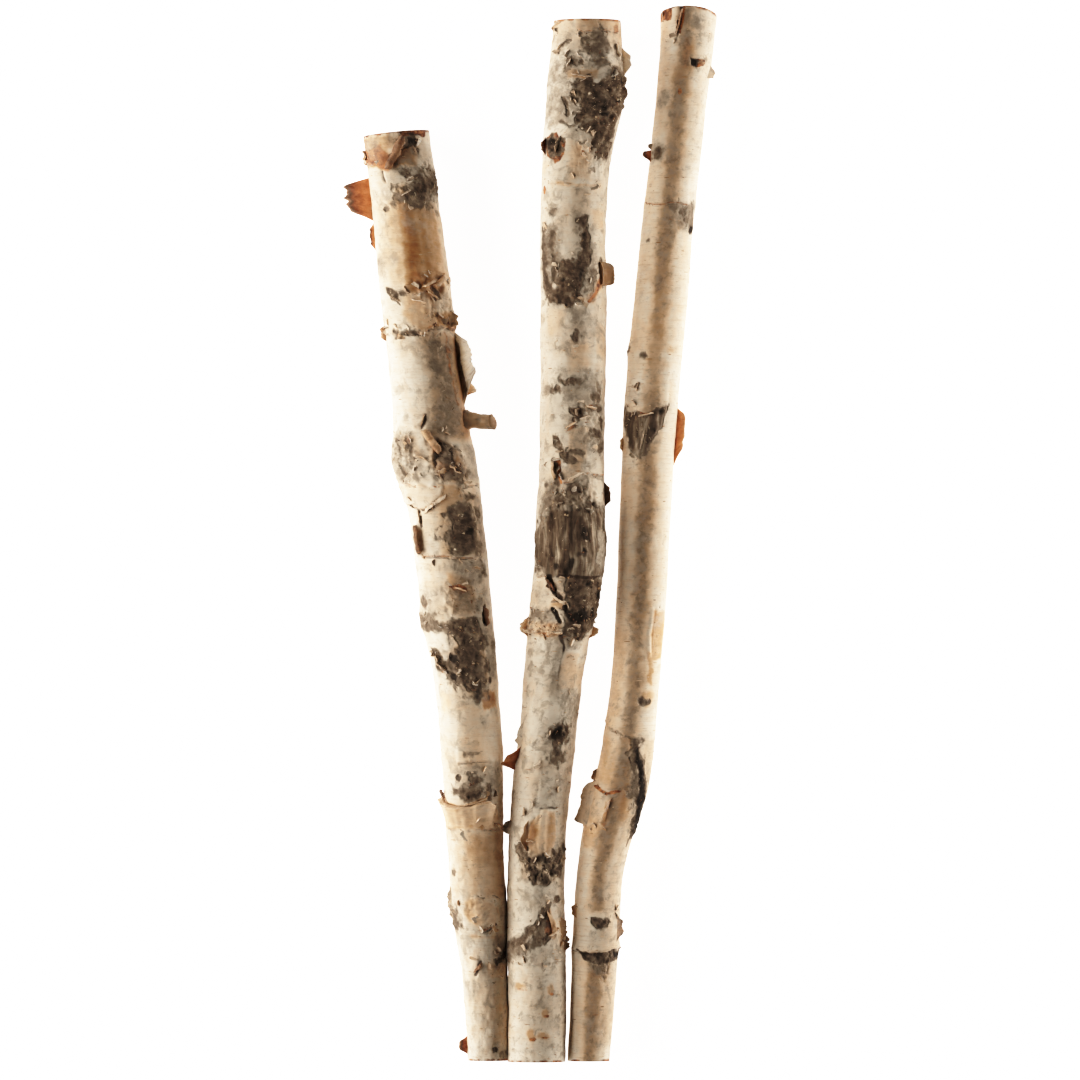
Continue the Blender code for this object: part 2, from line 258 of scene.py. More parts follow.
class Grid:
    """The bark of one log as a grid of places, with the height painted on it, and its masks."""

    def __init__(self, log, seed):
        self.log = log
        self.seed = seed
        self.mean_radius = float(np.mean(log.radius(np.linspace(0, log.length, 50))))
        self.rows = int(log.length / ROW_STEP) + 1
        self.columns = int(2 * math.pi * self.mean_radius / COLUMN_STEP)
        self.turns = column_turns(self.columns)
        self.along = np.repeat(np.linspace(0.0, log.length, self.rows)[:, None], self.columns, axis=1)
        self.turn = np.repeat(self.turns[None, :], self.rows, axis=0)
        self.radius = log.radius(self.along)
        angle = np.radians(self.turn)
        straight = (np.cos(angle) * self.mean_radius, self.along, np.sin(angle) * self.mean_radius)
        self.straight = np.stack(straight, axis=-1)
        self.rise = log.swelling(self.along, self.turn)
        self.masks = {name: np.zeros(self.along.shape) for name in MASKS}
        self.saved = {}

    def cloud(self, size, extra, octaves=4):
        """A cloud over the whole bark, worked out once for each size and seed."""
        key = (size, extra, octaves)
        if key not in self.saved:
            self.saved[key] = clouds(self.straight, size, self.seed * 31 + extra, octaves)
        return self.saved[key]

    def rise_at(self, along, turn):
        """The painted height between grid points."""
        row = np.clip(np.asarray(along, float) / self.log.length, 0, 1) * (self.rows - 1)
        turn = (np.asarray(turn, float) - SEAM) % 360.0 + SEAM
        column = np.interp(turn, np.append(self.turns, SEAM + 360.0), np.arange(self.columns + 1))
        r, c = np.minimum(row.astype(int), self.rows - 2), column.astype(int)
        fr, fc = row - r, column - c
        c, d = c % self.columns, (c + 1) % self.columns
        low = self.rise[r, c] * (1 - fc) + self.rise[r, d] * fc
        high = self.rise[r + 1, c] * (1 - fc) + self.rise[r + 1, d] * fc
        return low * (1 - fr) + high * fr

    def place(self, along, turn, rise):
        """Places in millimetres, in the part's own frame, at a height over the round trunk."""
        log = self.log
        middle_x = log.centre(along)
        middle_z = log.height(along)
        reach = log.radius(along) + rise
        angle = np.radians(turn)
        x = middle_x + np.cos(angle) * reach
        z = middle_z + np.sin(angle) * reach
        near_foot = 1 - ramp(along, 0.0, CUT_REACH)
        near_head = ramp(along, log.length - CUT_REACH, log.length)
        y = along + near_foot * (log.foot[0] * (x - middle_x) + log.foot[1] * (z - middle_z))
        y = y + near_head * (log.head[0] * (x - middle_x) + log.head[1] * (z - middle_z))
        return np.stack([x - ORIGIN_ACROSS, y - ORIGIN_ALONG, np.maximum(z, 0.0)], axis=-1)

    def points(self):
        return self.place(self.along, self.turn, self.rise) * MM


# %% [markdown]
# ## Saying where
#
# Every mark on the bark starts with a where: for each grid point, how many millimetres it lies
# inside the mark, and less than 0 outside. An oval suits a knot, an outline of corners suits a
# torn patch, and a line through places suits a crack. Clouds move the border in and out. Corners
# and places are written as "along,turn along,turn", because a log has hundreds of them.

# %% Ovals, outlines and lines


def pairs(text):
    """The numbers of "along,turn along,turn" as a list of pairs."""
    return [tuple(map(float, place.split(","))) for place in text.split()]


def share_along(u, v, du, dv):
    """How far along the stretch (du, dv) each point (u, v) lies, from 0 to 1."""
    return np.clip((u * du + v * dv) / (du * du + dv * dv + 1e-9), 0, 1)


class Marked(Grid):
    def drift(self, u, v, bend, size=13.0, seed=51):
        """Places moved by up to about bend mm, so that straight borders wander."""
        return u + bend * self.cloud(size, seed), v + bend * self.cloud(size, seed + 2)

    def local(self, along, turn):
        """(u, v) in mm from a place: u towards the head, v towards larger turns."""
        return self.along - along, np.radians(turn_between(self.turn, turn)) * self.radius

    def oval(self, along, turn, half_length, half_width, lean=0.0, ragged=None):
        size = min(half_length, half_width)
        ragged = 0.25 * size + 0.6 if ragged is None else ragged
        u, v = self.drift(*self.local(along, turn), bend=min(0.22 * size, 4.0))
        c, s = math.cos(math.radians(lean)), math.sin(math.radians(lean))
        u, v = u * c + v * s, v * c - u * s
        oval = 1.0 - np.sqrt((u / half_length) ** 2 + (v / half_width) ** 2)
        grain = 4.0 if size < 6 else 7.0 if size < 14 else 12.0
        return oval * size + ragged * self.cloud(grain, 3)

    def flat(self, text):
        """Corners as (u, v) in mm round the middle corner, with the grid's own."""
        corners = pairs(text)
        middle = corners[len(corners) // 2][1]
        u = np.array([along for along, _ in corners])
        v = np.array([math.radians(turn_between(t, middle)) * float(self.log.radius(a)) for a, t in corners])
        return u, v, self.along, np.radians(turn_between(self.turn, middle)) * self.radius

    def reach_to(self, u, v, at_u, at_v, closed):
        """Distance from each grid point to a chain of corners, and whether it lies inside it."""
        nearest = np.full(at_u.shape, 1e9)
        inside = np.zeros(at_u.shape, bool)
        count = len(u) if closed else len(u) - 1
        for i in range(count):
            j = (i + 1) % len(u)
            du, dv = u[j] - u[i], v[j] - v[i]
            t = share_along(at_u - u[i], at_v - v[i], du, dv)
            nearest = np.minimum(nearest, np.hypot(at_u - u[i] - t * du, at_v - v[i] - t * dv))
            if closed and dv != 0:
                crosses = (v[i] > at_v) != (v[j] > at_v)
                inside ^= crosses & (at_u < (at_v - v[i]) / dv * du + u[i])
        return nearest, inside

    def outline(self, corners, ragged=2.2, bend=2.0):
        u, v, at_u, at_v = self.flat(corners)
        nearest, inside = self.reach_to(u, v, *self.drift(at_u, at_v, bend), True)
        return np.where(inside, nearest, -nearest) + ragged * self.cloud(8.0, 3)

    def line(self, places, width, end=None, ragged=0.5, bend=1.2):
        """A stroke through places, width mm wide where it starts and end mm where it stops."""
        u, v, at_u, at_v = self.flat(places)
        at_u, at_v = self.drift(at_u, at_v, bend, 9.0, 55)
        nearest, _ = self.reach_to(u, v, at_u, at_v, False)
        end = width if end is None else end
        t = share_along(at_u - u[0], at_v - v[0], u[-1] - u[0], v[-1] - v[0])
        return (width + (end - width) * t) / 2 - nearest + ragged * self.cloud(5.0, 59)


# %% [markdown]
# ## Brushes
#
# A brush takes a where and changes the masks and the height together. Scars stand proud and
# break up into flecks at their edge, a cover is a flap of pale bark that lies over the dark, and
# a ledge is a layer of bark that ends in a torn, lifted line. Most marks are plain outlines, so a
# brush also takes their corners as they are.

# %% The brushes


def inside_of(where, soft):
    """0 outside a where and 1 inside it, with a border soft mm wide."""
    return ramp(where, -soft / 2, soft / 2)


def brush(stroke):
    """Turns the corners of an outline into a where before the stroke."""

    def ready(bark, where, *amounts, **named):
        where = bark.outline(where) if isinstance(where, str) else where
        stroke(bark, where, *amounts, **named)

    return ready


class Bark(Marked):
    def add(self, mask, amount):
        self.masks[mask] = np.maximum(self.masks[mask], amount)

    @brush
    def scar(self, where, dark, rise=0.9, stripe=0.0, soft=6.0, black=0.0, halo=0.6, mottle=0.5):
        """Dark, rough bark: dark below 1 leaves pale bark in it, and halo greys what is round it."""
        size = float(where.max())
        soft = min(1.25 * soft, 1.1 * size + 0.8)
        flecks = mottle * self.cloud(5.5, 31, 3) * ramp(size, 0.0, 6.0)
        amount = np.clip(0.55 + where / soft + flecks * (1.3 - ramp(where, 0, 12) * 0.6), 0, 1)
        self.add("scar", amount * dark)
        self.add("stripe", ramp(where, -4, 1) * stripe)
        if black:
            self.add("black", ramp(where, 0.0, 3.0) * ramp(self.cloud(9.0, 33, 3), 0.6 - black, 1.1 - black))
        self.add("film", ramp(where, -9.0 - 0.1 * size, 3.0) * halo * ramp(size, 3, 12))
        self.add("loose", ramp(where, -4, 2) * 0.55 * dark * ramp(size, 5, 12))
        self.rise += rise * ramp(where, -3.0, 5.0) * ramp(size, 1.0, 7.0)

    @brush
    def black(self, where, amount=1.0):
        """A deep, nearly black spot."""
        on = ramp(where, -0.6, 1.4) * amount
        self.add("scar", on)
        self.add("black", on)
        self.rise -= 0.5 * on

    @brush
    def film(self, where, grey, soft=8.0):
        self.add("film", inside_of(where, soft) * grey)

    @brush
    def bare(self, where, tan, soft=6.0):
        """Inner bark with no edge that stands up: the outer layer has worn away."""
        self.add("tan", inside_of(where, soft) * tan)

    @brush
    def rust(self, where, amount, soft=1.6):
        """Torn, rust coloured inner bark."""
        self.add("rust", inside_of(where, soft) * amount)

    @brush
    def dark(self, where, amount, sink=0.5):
        """A crack or a gap, darkened with painted shade and sunk a little."""
        on = ramp(where, -1.3, 1.2) * amount
        self.add("gap", on)
        self.rise -= sink * on

    @brush
    def clean(self, where, tan=0.0):
        """Pale bark where an earlier mark would otherwise show; a tan below 0 paints it paler still, as
        painted light.
        """
        on = ramp(where, -2.0, 2.0)
        for mask in ("scar", "film", "black"):
            self.masks[mask] *= 1 - on
        self.masks["tan"] = self.masks["tan"] * (1 - on) + tan * on

    @brush
    def pale(self, where, amount):
        """Paler bark: less of the grey film and of the tan that lie over it. Mostly painted light, on flanks
        that lie in another log's shade.
        """
        on = inside_of(where, 12.0) * amount
        self.masks["film"] -= on
        self.masks["tan"] -= on * (0.12 + 0.5 * self.masks["tan"].clip(0))

    @brush
    def cover(self, where, step):
        """A flap of pale bark that still lies over the darker bark, with its edge lifted and painted shade
        under it.
        """
        on = ramp(where, -0.4, 0.6)
        for mask in ("scar", "tan", "film", "gap", "rust", "black", "loose"):
            self.masks[mask] *= 1 - on
        broken = ramp(self.cloud(6.0, 4), -0.2, 0.5)
        self.add("rust", 0.7 * np.exp(-((where - 0.2) ** 2) / 0.3) * broken)
        self.add("gap", 0.8 * np.exp(-((where + 1.2) ** 2) / 0.8) * broken)
        self.rise += step * on + 0.5 * np.exp(-((where - 0.8) ** 2) / 1.5)

    def ledge(self, places, step, rust, side=1, lift=0.9, wobble=2.0, gap=0.8):
        """A layer of bark that ends on a ragged line through places, with painted shade below its edge. side
        1 leaves it on the head side.
        """
        places = sorted(pairs(places), key=lambda place: place[1])
        turns = [turn for _, turn in places]
        middle = (turns[0] + turns[-1]) / 2
        swing = turn_between(self.turn, middle)
        line = np.interp(swing, np.array(turns) - middle, [along for along, _ in places])
        seed = int(places[0][0])
        line = line + wobble * self.cloud(10.0, seed) + 0.6 * self.cloud(2.6, 13, 2)
        depth = (self.along - line) * side
        half_span = (turns[-1] - turns[0]) / 2
        fade = ramp(1.0 - np.abs(swing) / half_span, 0.0, 0.2)
        broken = 0.3 + 0.7 * ramp(self.cloud(16.0, seed + 1), -0.45, 0.3)
        on = fade * np.clip(depth * 4 + 0.5, 0, 1)
        self.rise += on * (step * np.exp(-depth.clip(0) / 26) + lift * broken * np.exp(-depth.clip(0) / 2.4))
        self.add("gap", gap * fade * broken * np.exp(-((depth + 0.9) ** 2) / 0.9))
        self.add("rust", rust * fade * broken * np.exp(-((depth - 0.7) ** 2) / 1.1))
        self.add("loose", fade * broken * np.exp(-((depth - 1.0) ** 2) / 9.0))

    @brush
    def wrinkle(self, where, height, pitch, lean=0.0, dark=0.5):
        """Folds round the log where the bark has been squeezed, or along it with a lean of 90. Painted shade
        lies in their hollows.
        """
        c, s = math.cos(math.radians(lean)), math.sin(math.radians(lean))
        run = self.along * c + np.radians(turn_between(self.turn, 90)) * self.radius * s
        fold = np.sin(2 * math.pi * (run / pitch + 0.55 * self.cloud(14.0, 17)))
        self.rise += height * ramp(where, -2, 4) * (np.abs(fold) - 0.4)
        self.add("gap", dark * ramp(where, -1, 4) * ramp(-np.abs(fold), -0.3, 0.0))

    @brush
    def crumple(self, where, height, size=7.0, dark=0.8):
        """Bark broken into lumps and loose bits, with painted shade between the lumps."""
        lumps = np.abs(self.cloud(size, 21)) * 2 - 0.5
        on = ramp(where, -2, 4)
        self.rise += height * on * lumps
        self.add("gap", on * ramp(-lumps, 0.15, 0.45) * dark)
        self.add("loose", on)

    def rim(self):
        """The torn, darkened edge that the saw leaves at both ends."""
        for distance in (self.along, self.log.length - self.along):
            edge = np.exp(-((distance / 2.2) ** 2)) * ramp(self.cloud(7.0, 43), -0.5, 0.4)
            self.add("rust", 0.7 * edge)
            self.add("gap", 0.4 * edge * ramp(self.cloud(5.0, 45), 0.0, 0.5))
            self.rise += 0.5 * edge * self.cloud(4.0, 47)

    def shaded_underside(self):
        """Painted shade underneath, which also stands for a damp, stained underside: below the horizontal
        the bark turns greyer, browner and blotched.
        """
        under = ramp(-np.sin(np.radians(self.turn)), 0.0, 0.7)
        self.add("film", under * (0.85 + 0.5 * self.cloud(16.0, 71)))
        self.add("tan", under * (0.50 + 0.5 * self.cloud(26.0, 73)))
        self.add("scar", under * 0.62 * ramp(self.cloud(21.0, 75), 0.15, 0.45))

    def finish_relief(self):
        """The relief that all birch bark has, and the furrows of the scars."""
        self.rim()
        uneven = 0.35 if self.log is right else 1.0  # the right log's bark is the smoothest
        crumbs = self.cloud(6.0, 23)
        stretched = self.straight * np.array([1.0, 0.2, 1.0])
        furrows = 1.0 - 2.4 * np.abs(clouds(stretched, 6.5, self.seed + 25, 2))
        plates = clouds(self.straight * np.array([0.16, 1.0, 0.16]), 3.2, self.seed + 27, 3)
        scar = ramp(self.masks["scar"], 0.15, 0.9)
        stripe = self.masks["stripe"]
        rough = (1 - stripe) * (np.abs(crumbs) * 2.2 - 0.7) + stripe * furrows * 1.2
        lumps = 0.30 * crumbs + 0.5 * self.cloud(13.0, 35, 3)
        self.rise += scar * rough * 1.1 + uneven * lumps + 0.08 * plates
        self.rise += 0.6 * uneven * self.masks["film"] * np.abs(self.cloud(4.2, 31, 3))
        self.rise += 0.45 * self.cloud(38.0, 29, 2)
        self.rise -= 0.55 * np.clip(self.masks["gap"], 0, 1)


# %% [markdown]
# ## What is on each log
#
# Each log gets its own cells: a list of places with what the bark does there, from the head down
# to the foot. The order matters a little, because cleaned bark or a flap of pale bark wipes out
# the scar that it covers.

# %% The left log's upper half


def paint_left_top(b):
    b.bare("829,178 833,100 826,88 812,112 812,150 818,178", 0.55, soft=3)
    b.bare("812,150 812,112 800,112 803,145", 0.8)
    shoulder = b.outline("834,182 834,120 806,124 801,182")
    b.bare(shoulder, 0.9, soft=7)
    b.rust("834,176 834,150 812,148 806,176", 0.32, soft=10)
    b.film(shoulder, 0.6)
    b.rust(b.line("814,180 809,152 804,130 801,112", 6, ragged=2), 0.5, soft=5)
    brown = b.outline("818,156 824,116 805,100 799,120 803,156")
    b.bare(brown, 1, soft=4)
    b.rust(brown, 0.34, soft=6)
    roll = b.outline("830,92 834,50 826,48 806,62 803,95 812,104")
    b.scar(roll, 0.62, rise=0.4)
    b.bare(roll, 0.7)
    b.black("829,70 827,46 821,52 823,68", 0.8)
    b.rust(b.outline("837,84 838,22 829,24 830,80", ragged=1.2), 0.9)
    b.dark(b.line("833,80 831,40", 2.5), 0.8)
    b.film("822,45 822,12 803,12 803,48", 0.3)
    b.crumple("820,185 818,150 808,150 808,185", 1.4)
    b.rust("820,190 818,152 808,150 808,190", 0.5)
    b.dark(b.line("798,123 789,121", 2.2), 0.9)
    under = b.outline("818,98 819,60 803,58 803,98")
    b.clean(under, 0.95)
    b.film(under, 0.8)
    patch = b.outline("800,80 801,30 797,5 782,0 771,12 769,55 768,84 776,104 786,84")
    b.scar(patch, 0.72, soft=14)
    b.scar("796,78 797,48 785,42 772,58 774,86 784,76", 0.92, black=0.15, soft=9)
    b.scar("798,40 796,6 778,6 776,34", 0.9, soft=9)
    b.scar("781,112 780,90 768,84 770,106", 0.55)
    b.ledge("800,85 802,40 799,0", 0.6, rust=0.3)
    b.scar(b.oval(764, 123, 2.5, 3), 0.7, rise=0.2)
    # A tan band down the crown, partly worn inner bark and partly painted shade where the side lights fall
    # least.
    b.bare(b.line("775,88 735,84 698,84", 16, end=20, ragged=1.5, bend=2.5), 0.95, soft=15)
    b.bare("772,84 770,30 735,20 700,40 699,84", 0.62, soft=14)
    b.bare("772,132 770,15 700,15 700,128", 0.36, soft=20)
    b.pale("768,182 768,124 700,124 700,182", 0.4)
    b.bare("770,162 770,118 700,118 700,162", 0.24, soft=14)
    b.bare(b.line("772,64 735,62 702,62", 12, ragged=1.5), 0.8, soft=12)
    b.film(b.oval(715, 155, 8, 10), 0.9)
    b.film("769,63 768,30 756,36 757,62", 0.5)
    b.ledge("707,20 703,60 699,85 696,110", 0.7, rust=0.5, wobble=4)
    b.crumple("708,85 708,5 660,5 652,70 690,92", 2, size=9, dark=0.5)
    b.scar("693,58 694,40 685,46 684,58", 0.85, soft=4)
    b.rust("702,62 696,44 684,50 688,66", 0.35, soft=5)
    b.bare("700,84 700,30 684,40 684,88", 0.5)
    b.scar(b.outline("694,140 692,123 688,113 679,115 684,126 688,138", ragged=1.2), 0.9, soft=3, rise=0.4)
    b.scar(b.oval(689, 107, 2, 4, ragged=1), 0.8, soft=3, rise=0.2)
    b.rust(b.line("689,128 683,117", 1.5), 0.8)
    b.bare("698,104 697,60 660,50 652,90 670,110", 0.45, soft=8)
    b.bare("672,62 671,8 657,5 660,60", 0.85)
    b.scar("671,58 669,20 662,15 662,52", 0.5, rise=0.3)
    b.ledge("658,0 659,60 654,84 651,133 655,165", 1.2, lift=1.5, rust=0.5, wobble=3)
    b.scar(b.outline("657,133 656,84 652,88 650,130", ragged=1.5), 0.75, rise=0.2)
    b.crumple("662,135 662,84 652,84 650,135", 0.8, size=5, dark=0.3)


# %% The left log's knot


def paint_left_knot(b):
    # Darker grey-brown bark right of the crown, beside the big flap: partly weathered bark, partly painted
    # shade.
    b.scar("648,74 648,36 590,34 562,40 562,84 600,74", 0.42, soft=14, rise=0.2)
    b.film("652,86 650,36 590,30 560,40 560,96 600,84", 0.95, soft=16)
    b.bare("652,84 650,10 590,5 560,10 560,92 600,82", 0.72, soft=12)
    # Painted shadow: a soft rust-brown line where the big flap meets the trunk.
    b.rust(b.line("652,44 625,42 592,38", 3, ragged=2.4, bend=3), 0.5, soft=6)
    b.scar(b.line("646,70 625,72 606,62 590,66", 8, ragged=2, bend=3), 0.5, soft=10, rise=0.2)
    b.dark(b.line("581,95 575,96 569,103", 2, end=3), 1, sink=0.3)
    b.ledge("582,88 576,99 570,112 572,140", 0.6, rust=0.3, gap=0.4)
    knot = b.outline("556,94 556,66 545,52 528,48 521,62 524,86 538,94")
    b.scar(knot, 0.58, rise=0.8, soft=12)
    b.bare(knot, 0.9, soft=8)
    b.scar(b.line("542,74 533,62 524,60", 5, ragged=1.2), 0.9, soft=5)
    b.rust(b.oval(541, 78, 7, 5), 0.35, soft=5)
    b.rust(b.oval(529, 82, 4, 6), 0.3, soft=5)
    b.crumple("558,96 558,50 522,45 520,98", 2.6, size=9)
    b.film("570,150 566,112 524,105 520,150 540,180", 0.75)
    b.wrinkle("568,170 566,125 524,118 520,160", 1.6, pitch=8, lean=75)
    b.crumple("568,172 566,118 524,112 520,165", 1.4, size=8, dark=0.5)
    b.bare("562,140 560,112 546,108 548,134", 0.55, soft=6)
    b.scar(b.line("562,150 552,142 540,146 528,138", 3.5, ragged=1.5, bend=3), 0.6, soft=5, rise=0.2)
    b.scar(b.oval(554, 124, 6, 4, lean=15), 0.8, rise=0.3)
    b.rust(b.oval(556, 126, 4, 3), 0.7)
    b.dark(b.line("543,120 541,114", 2.6), 0.9)
    b.dark(b.line("540,121 531,127 524,133", 1.6), 0.7)
    b.film("558,50 558,10 524,5 522,45", 0.8)
    b.ledge("519,10 517,60 516,100 519,160", 1.2, lift=1, rust=0.4, wobble=1.5)
    b.bare("520,92 518,60 508,62 506,95", 0.5)
    black = b.outline("506,62 505,45 490,33 470,32 456,48 455,86 470,93 485,86 497,76")
    b.scar(black, 0.92, black=0.22, soft=15, rise=1)
    b.scar("504,62 503,46 488,38 474,42 474,78 490,72", 1, black=0.45, soft=9)
    b.bare("514,96 508,20 455,15 455,100", 0.4, soft=10)
    b.film("512,40 505,10 456,10 456,40", 0.8)
    b.cover("517,86 510,90 504,98 498,112 496,128 503,170 518,170", 1)
    b.dark(b.line("506,94 498,110 496,127", 2.4), 0.9)
    b.dark(b.line("496,134 482,131", 3), 1)
    b.ledge("455,160 455,120 454,92 452,40", 1, rust=0.5, wobble=1.5)
    b.film("454,90 452,35 430,40 426,88", 0.95)
    b.wrinkle("454,88 452,45 430,50 430,84", 1, pitch=6, lean=70)
    b.scar("452,42 448,25 438,25 440,42", 0.6)
    b.bare("440,95 435,60 415,60 418,98", 0.7)
    b.scar(b.oval(425, 80, 6, 9), 0.5, rise=0.4)
    b.rust(b.oval(427, 82, 4, 7), 0.7)


# %% The left log's lower half


def paint_left_bottom(b):
    b.film("428,170 428,20 396,20 398,120 388,180", 0.55, soft=16)
    b.bare("428,98 424,60 402,62 404,96", 0.45, soft=10)
    b.crumple("428,110 426,50 402,48 400,112", 1, size=8, dark=0.4)
    b.scar(b.oval(414, 152, 5, 6), 0.7, rise=0.3)
    b.rust(b.oval(413, 150, 2.5, 4), 0.7)
    b.scar("407,190 405,130 396,118 388,125 390,190", 0.66, stripe=0.4)
    b.wrinkle(b.oval(398, 165, 16, 14), 0.8, pitch=5, lean=90)
    b.black(b.oval(403, 41, 10, 3.4, lean=-6, ragged=0.5))
    b.scar("424,105 424,35 404,40 398,100", 0.4, soft=14, halo=0.4)
    brown = b.outline("396,128 394,104 400,80 399,58 385,48 362,46 343,52 331,60 328,75 338,92 346,106 "
                      "352,113 363,117 371,108 379,98 387,108")
    b.scar(brown, 0.8, black=0.05, soft=14, rise=1)
    b.scar(b.line("392,88 372,84 352,92 338,78", 20, end=12), 0.92, black=0.12, soft=10)
    b.bare(brown, 0.6)
    b.crumple(brown, 1.5, size=9, dark=0.35)
    b.black("368,112 368,98 361,98 361,113", 0.9)
    b.black(b.oval(348, 108, 5, 4), 0.9)
    b.scar("373,152 372,132 361,112 351,126 355,140", 0.75)
    b.rust("373,152 370,134 362,118 352,128 356,140", 0.6)
    b.crumple("374,155 372,125 352,115 350,140", 1.2, size=5)
    b.film("398,55 396,15 345,12 343,48", 0.9)
    b.scar("385,30 380,8 352,10 356,28", 0.45)
    b.clean(b.outline("388,160 386,122 380,114 374,114 373,140 377,165", ragged=3))
    b.bare("337,66 334,28 320,28 318,62", 1, soft=5)
    b.rust("333,54 331,36 324,38 323,52", 0.3, soft=6)
    b.bare("330,108 325,60 272,62 272,108", 0.25, soft=16)
    b.bare(b.oval(326, 135, 8, 8), 0.35)
    b.film(b.oval(308, 62, 4, 4), 0.9)
    b.dark(b.line("281,106 278,90 281,70", 1.6), 0.6)
    b.scar(b.outline("283,104 281,72 277,74 277,102", ragged=1), 0.5, rise=0.1)
    b.ledge("272,30 272,96 270,120", 1.1, rust=0.3, wobble=1.2)
    b.film("270,125 271,30 242,28 240,120", 0.7)
    b.black(b.oval(258, 114, 3, 3), 0.7)
    b.scar("260,92 254,68 246,50 238,58 239,116 246,122 251,106", 0.8, soft=10)
    b.scar("250,98 250,72 241,64 239,100", 1, black=0.35, soft=7)
    b.dark(b.line("242,178 234,145 231,118 231,98 237,74", 2), 0.9)
    b.bare("234,160 230,100 222,84 211,88 211,172", 0.5, soft=4)
    b.bare(b.line("241,180 233,145 230,118 230,98 237,72", 5), 0.95, soft=3)
    b.scar("235,86 238,62 226,60 214,72 216,88", 0.6, rise=0.3)
    b.bare("235,90 238,62 226,60 212,72 214,90", 0.9)
    b.bare("234,40 222,62 210,80 209,60 220,36", 0.35, soft=2)
    b.ledge("209,20 211,62 210,110 212,170", 1, rust=0.5, wobble=0.8)
    b.clean("209,150 209,2 152,2 152,150", 0.16)
    b.bare("209,108 209,20 149,20 149,108", 0.56, soft=12)
    # Painted light: on the foot's right side, which the middle log shades, the bark is cleaned to paler than
    # plain bark.
    b.clean("120,36 120,-30 96,-30 96,36", -0.12)
    b.clean("74,36 74,-30 3,-30 3,36", -0.12)
    b.scar(b.oval(171, 142, 3, 3), 0.6, rise=0.2)
    b.scar("158,186 146,152 132,136 120,140 120,165 135,188", 0.72, soft=7)
    node = b.oval(136, 82, 14, 16, ragged=2.5)
    b.bare(node, 0.66)
    b.wrinkle(node, 1.2, pitch=8, lean=15, dark=0.3)
    b.film(node, 0.2)
    b.rust(b.line("140,50 132,44 126,56", 3, ragged=1.5), 0.3, soft=4)
    b.ledge("149,110 150,60 147,30", 0.5, side=-1, rust=0.3)
    b.ledge("122,130 121,80 124,40", 0.8, rust=0.5)
    b.bare(b.line("115,110 114,60", 3), 0.8)
    b.film("118,60 116,20 90,20 92,55", 0.6, soft=12)
    b.scar(b.line("98,24 94,42 91,56", 5, ragged=1.5), 0.8, soft=5)
    collar = b.outline("91,84 91,10 76,8 76,80")
    b.scar(collar, 0.22, rise=0.3)
    b.bare(collar, 0.55, soft=4)
    b.film(collar, 0.7)
    b.dark(b.line("92,95 86,102 80,110", 3.4), 0.9, sink=0.2)
    b.bare("74,80 74,20 5,20 5,80", 0.22, soft=10)
    b.bare(b.oval(50, 48, 3, 5), 0.6)
    b.film(b.oval(66, 130, 8, 8), 0.5)
    # Painted light: the right half of the foot, in the middle log's shade, is made paler.
    b.pale("209,102 209,5 102,5 102,102", 0.8)
    b.pale("98,104 98,5 0,5 0,104", 0.7)
    b.bare("209,106 209,0 150,0 150,106", 0.46, soft=10)
    b.scar(b.oval(11, 66, 2.8, 3, ragged=1.2), 0.85, soft=3)
    b.dark(b.line("13,120 12,60", 1.2), 0.5)
    b.rise += 0.8 * ramp(b.outline("160,32 160,-32 -20,-32 -20,32", ragged=0), -4, 8)
    b.scar("10,60 10,25 2,25 2,60", 0.45, rise=0.2)


# %% The middle log's upper half


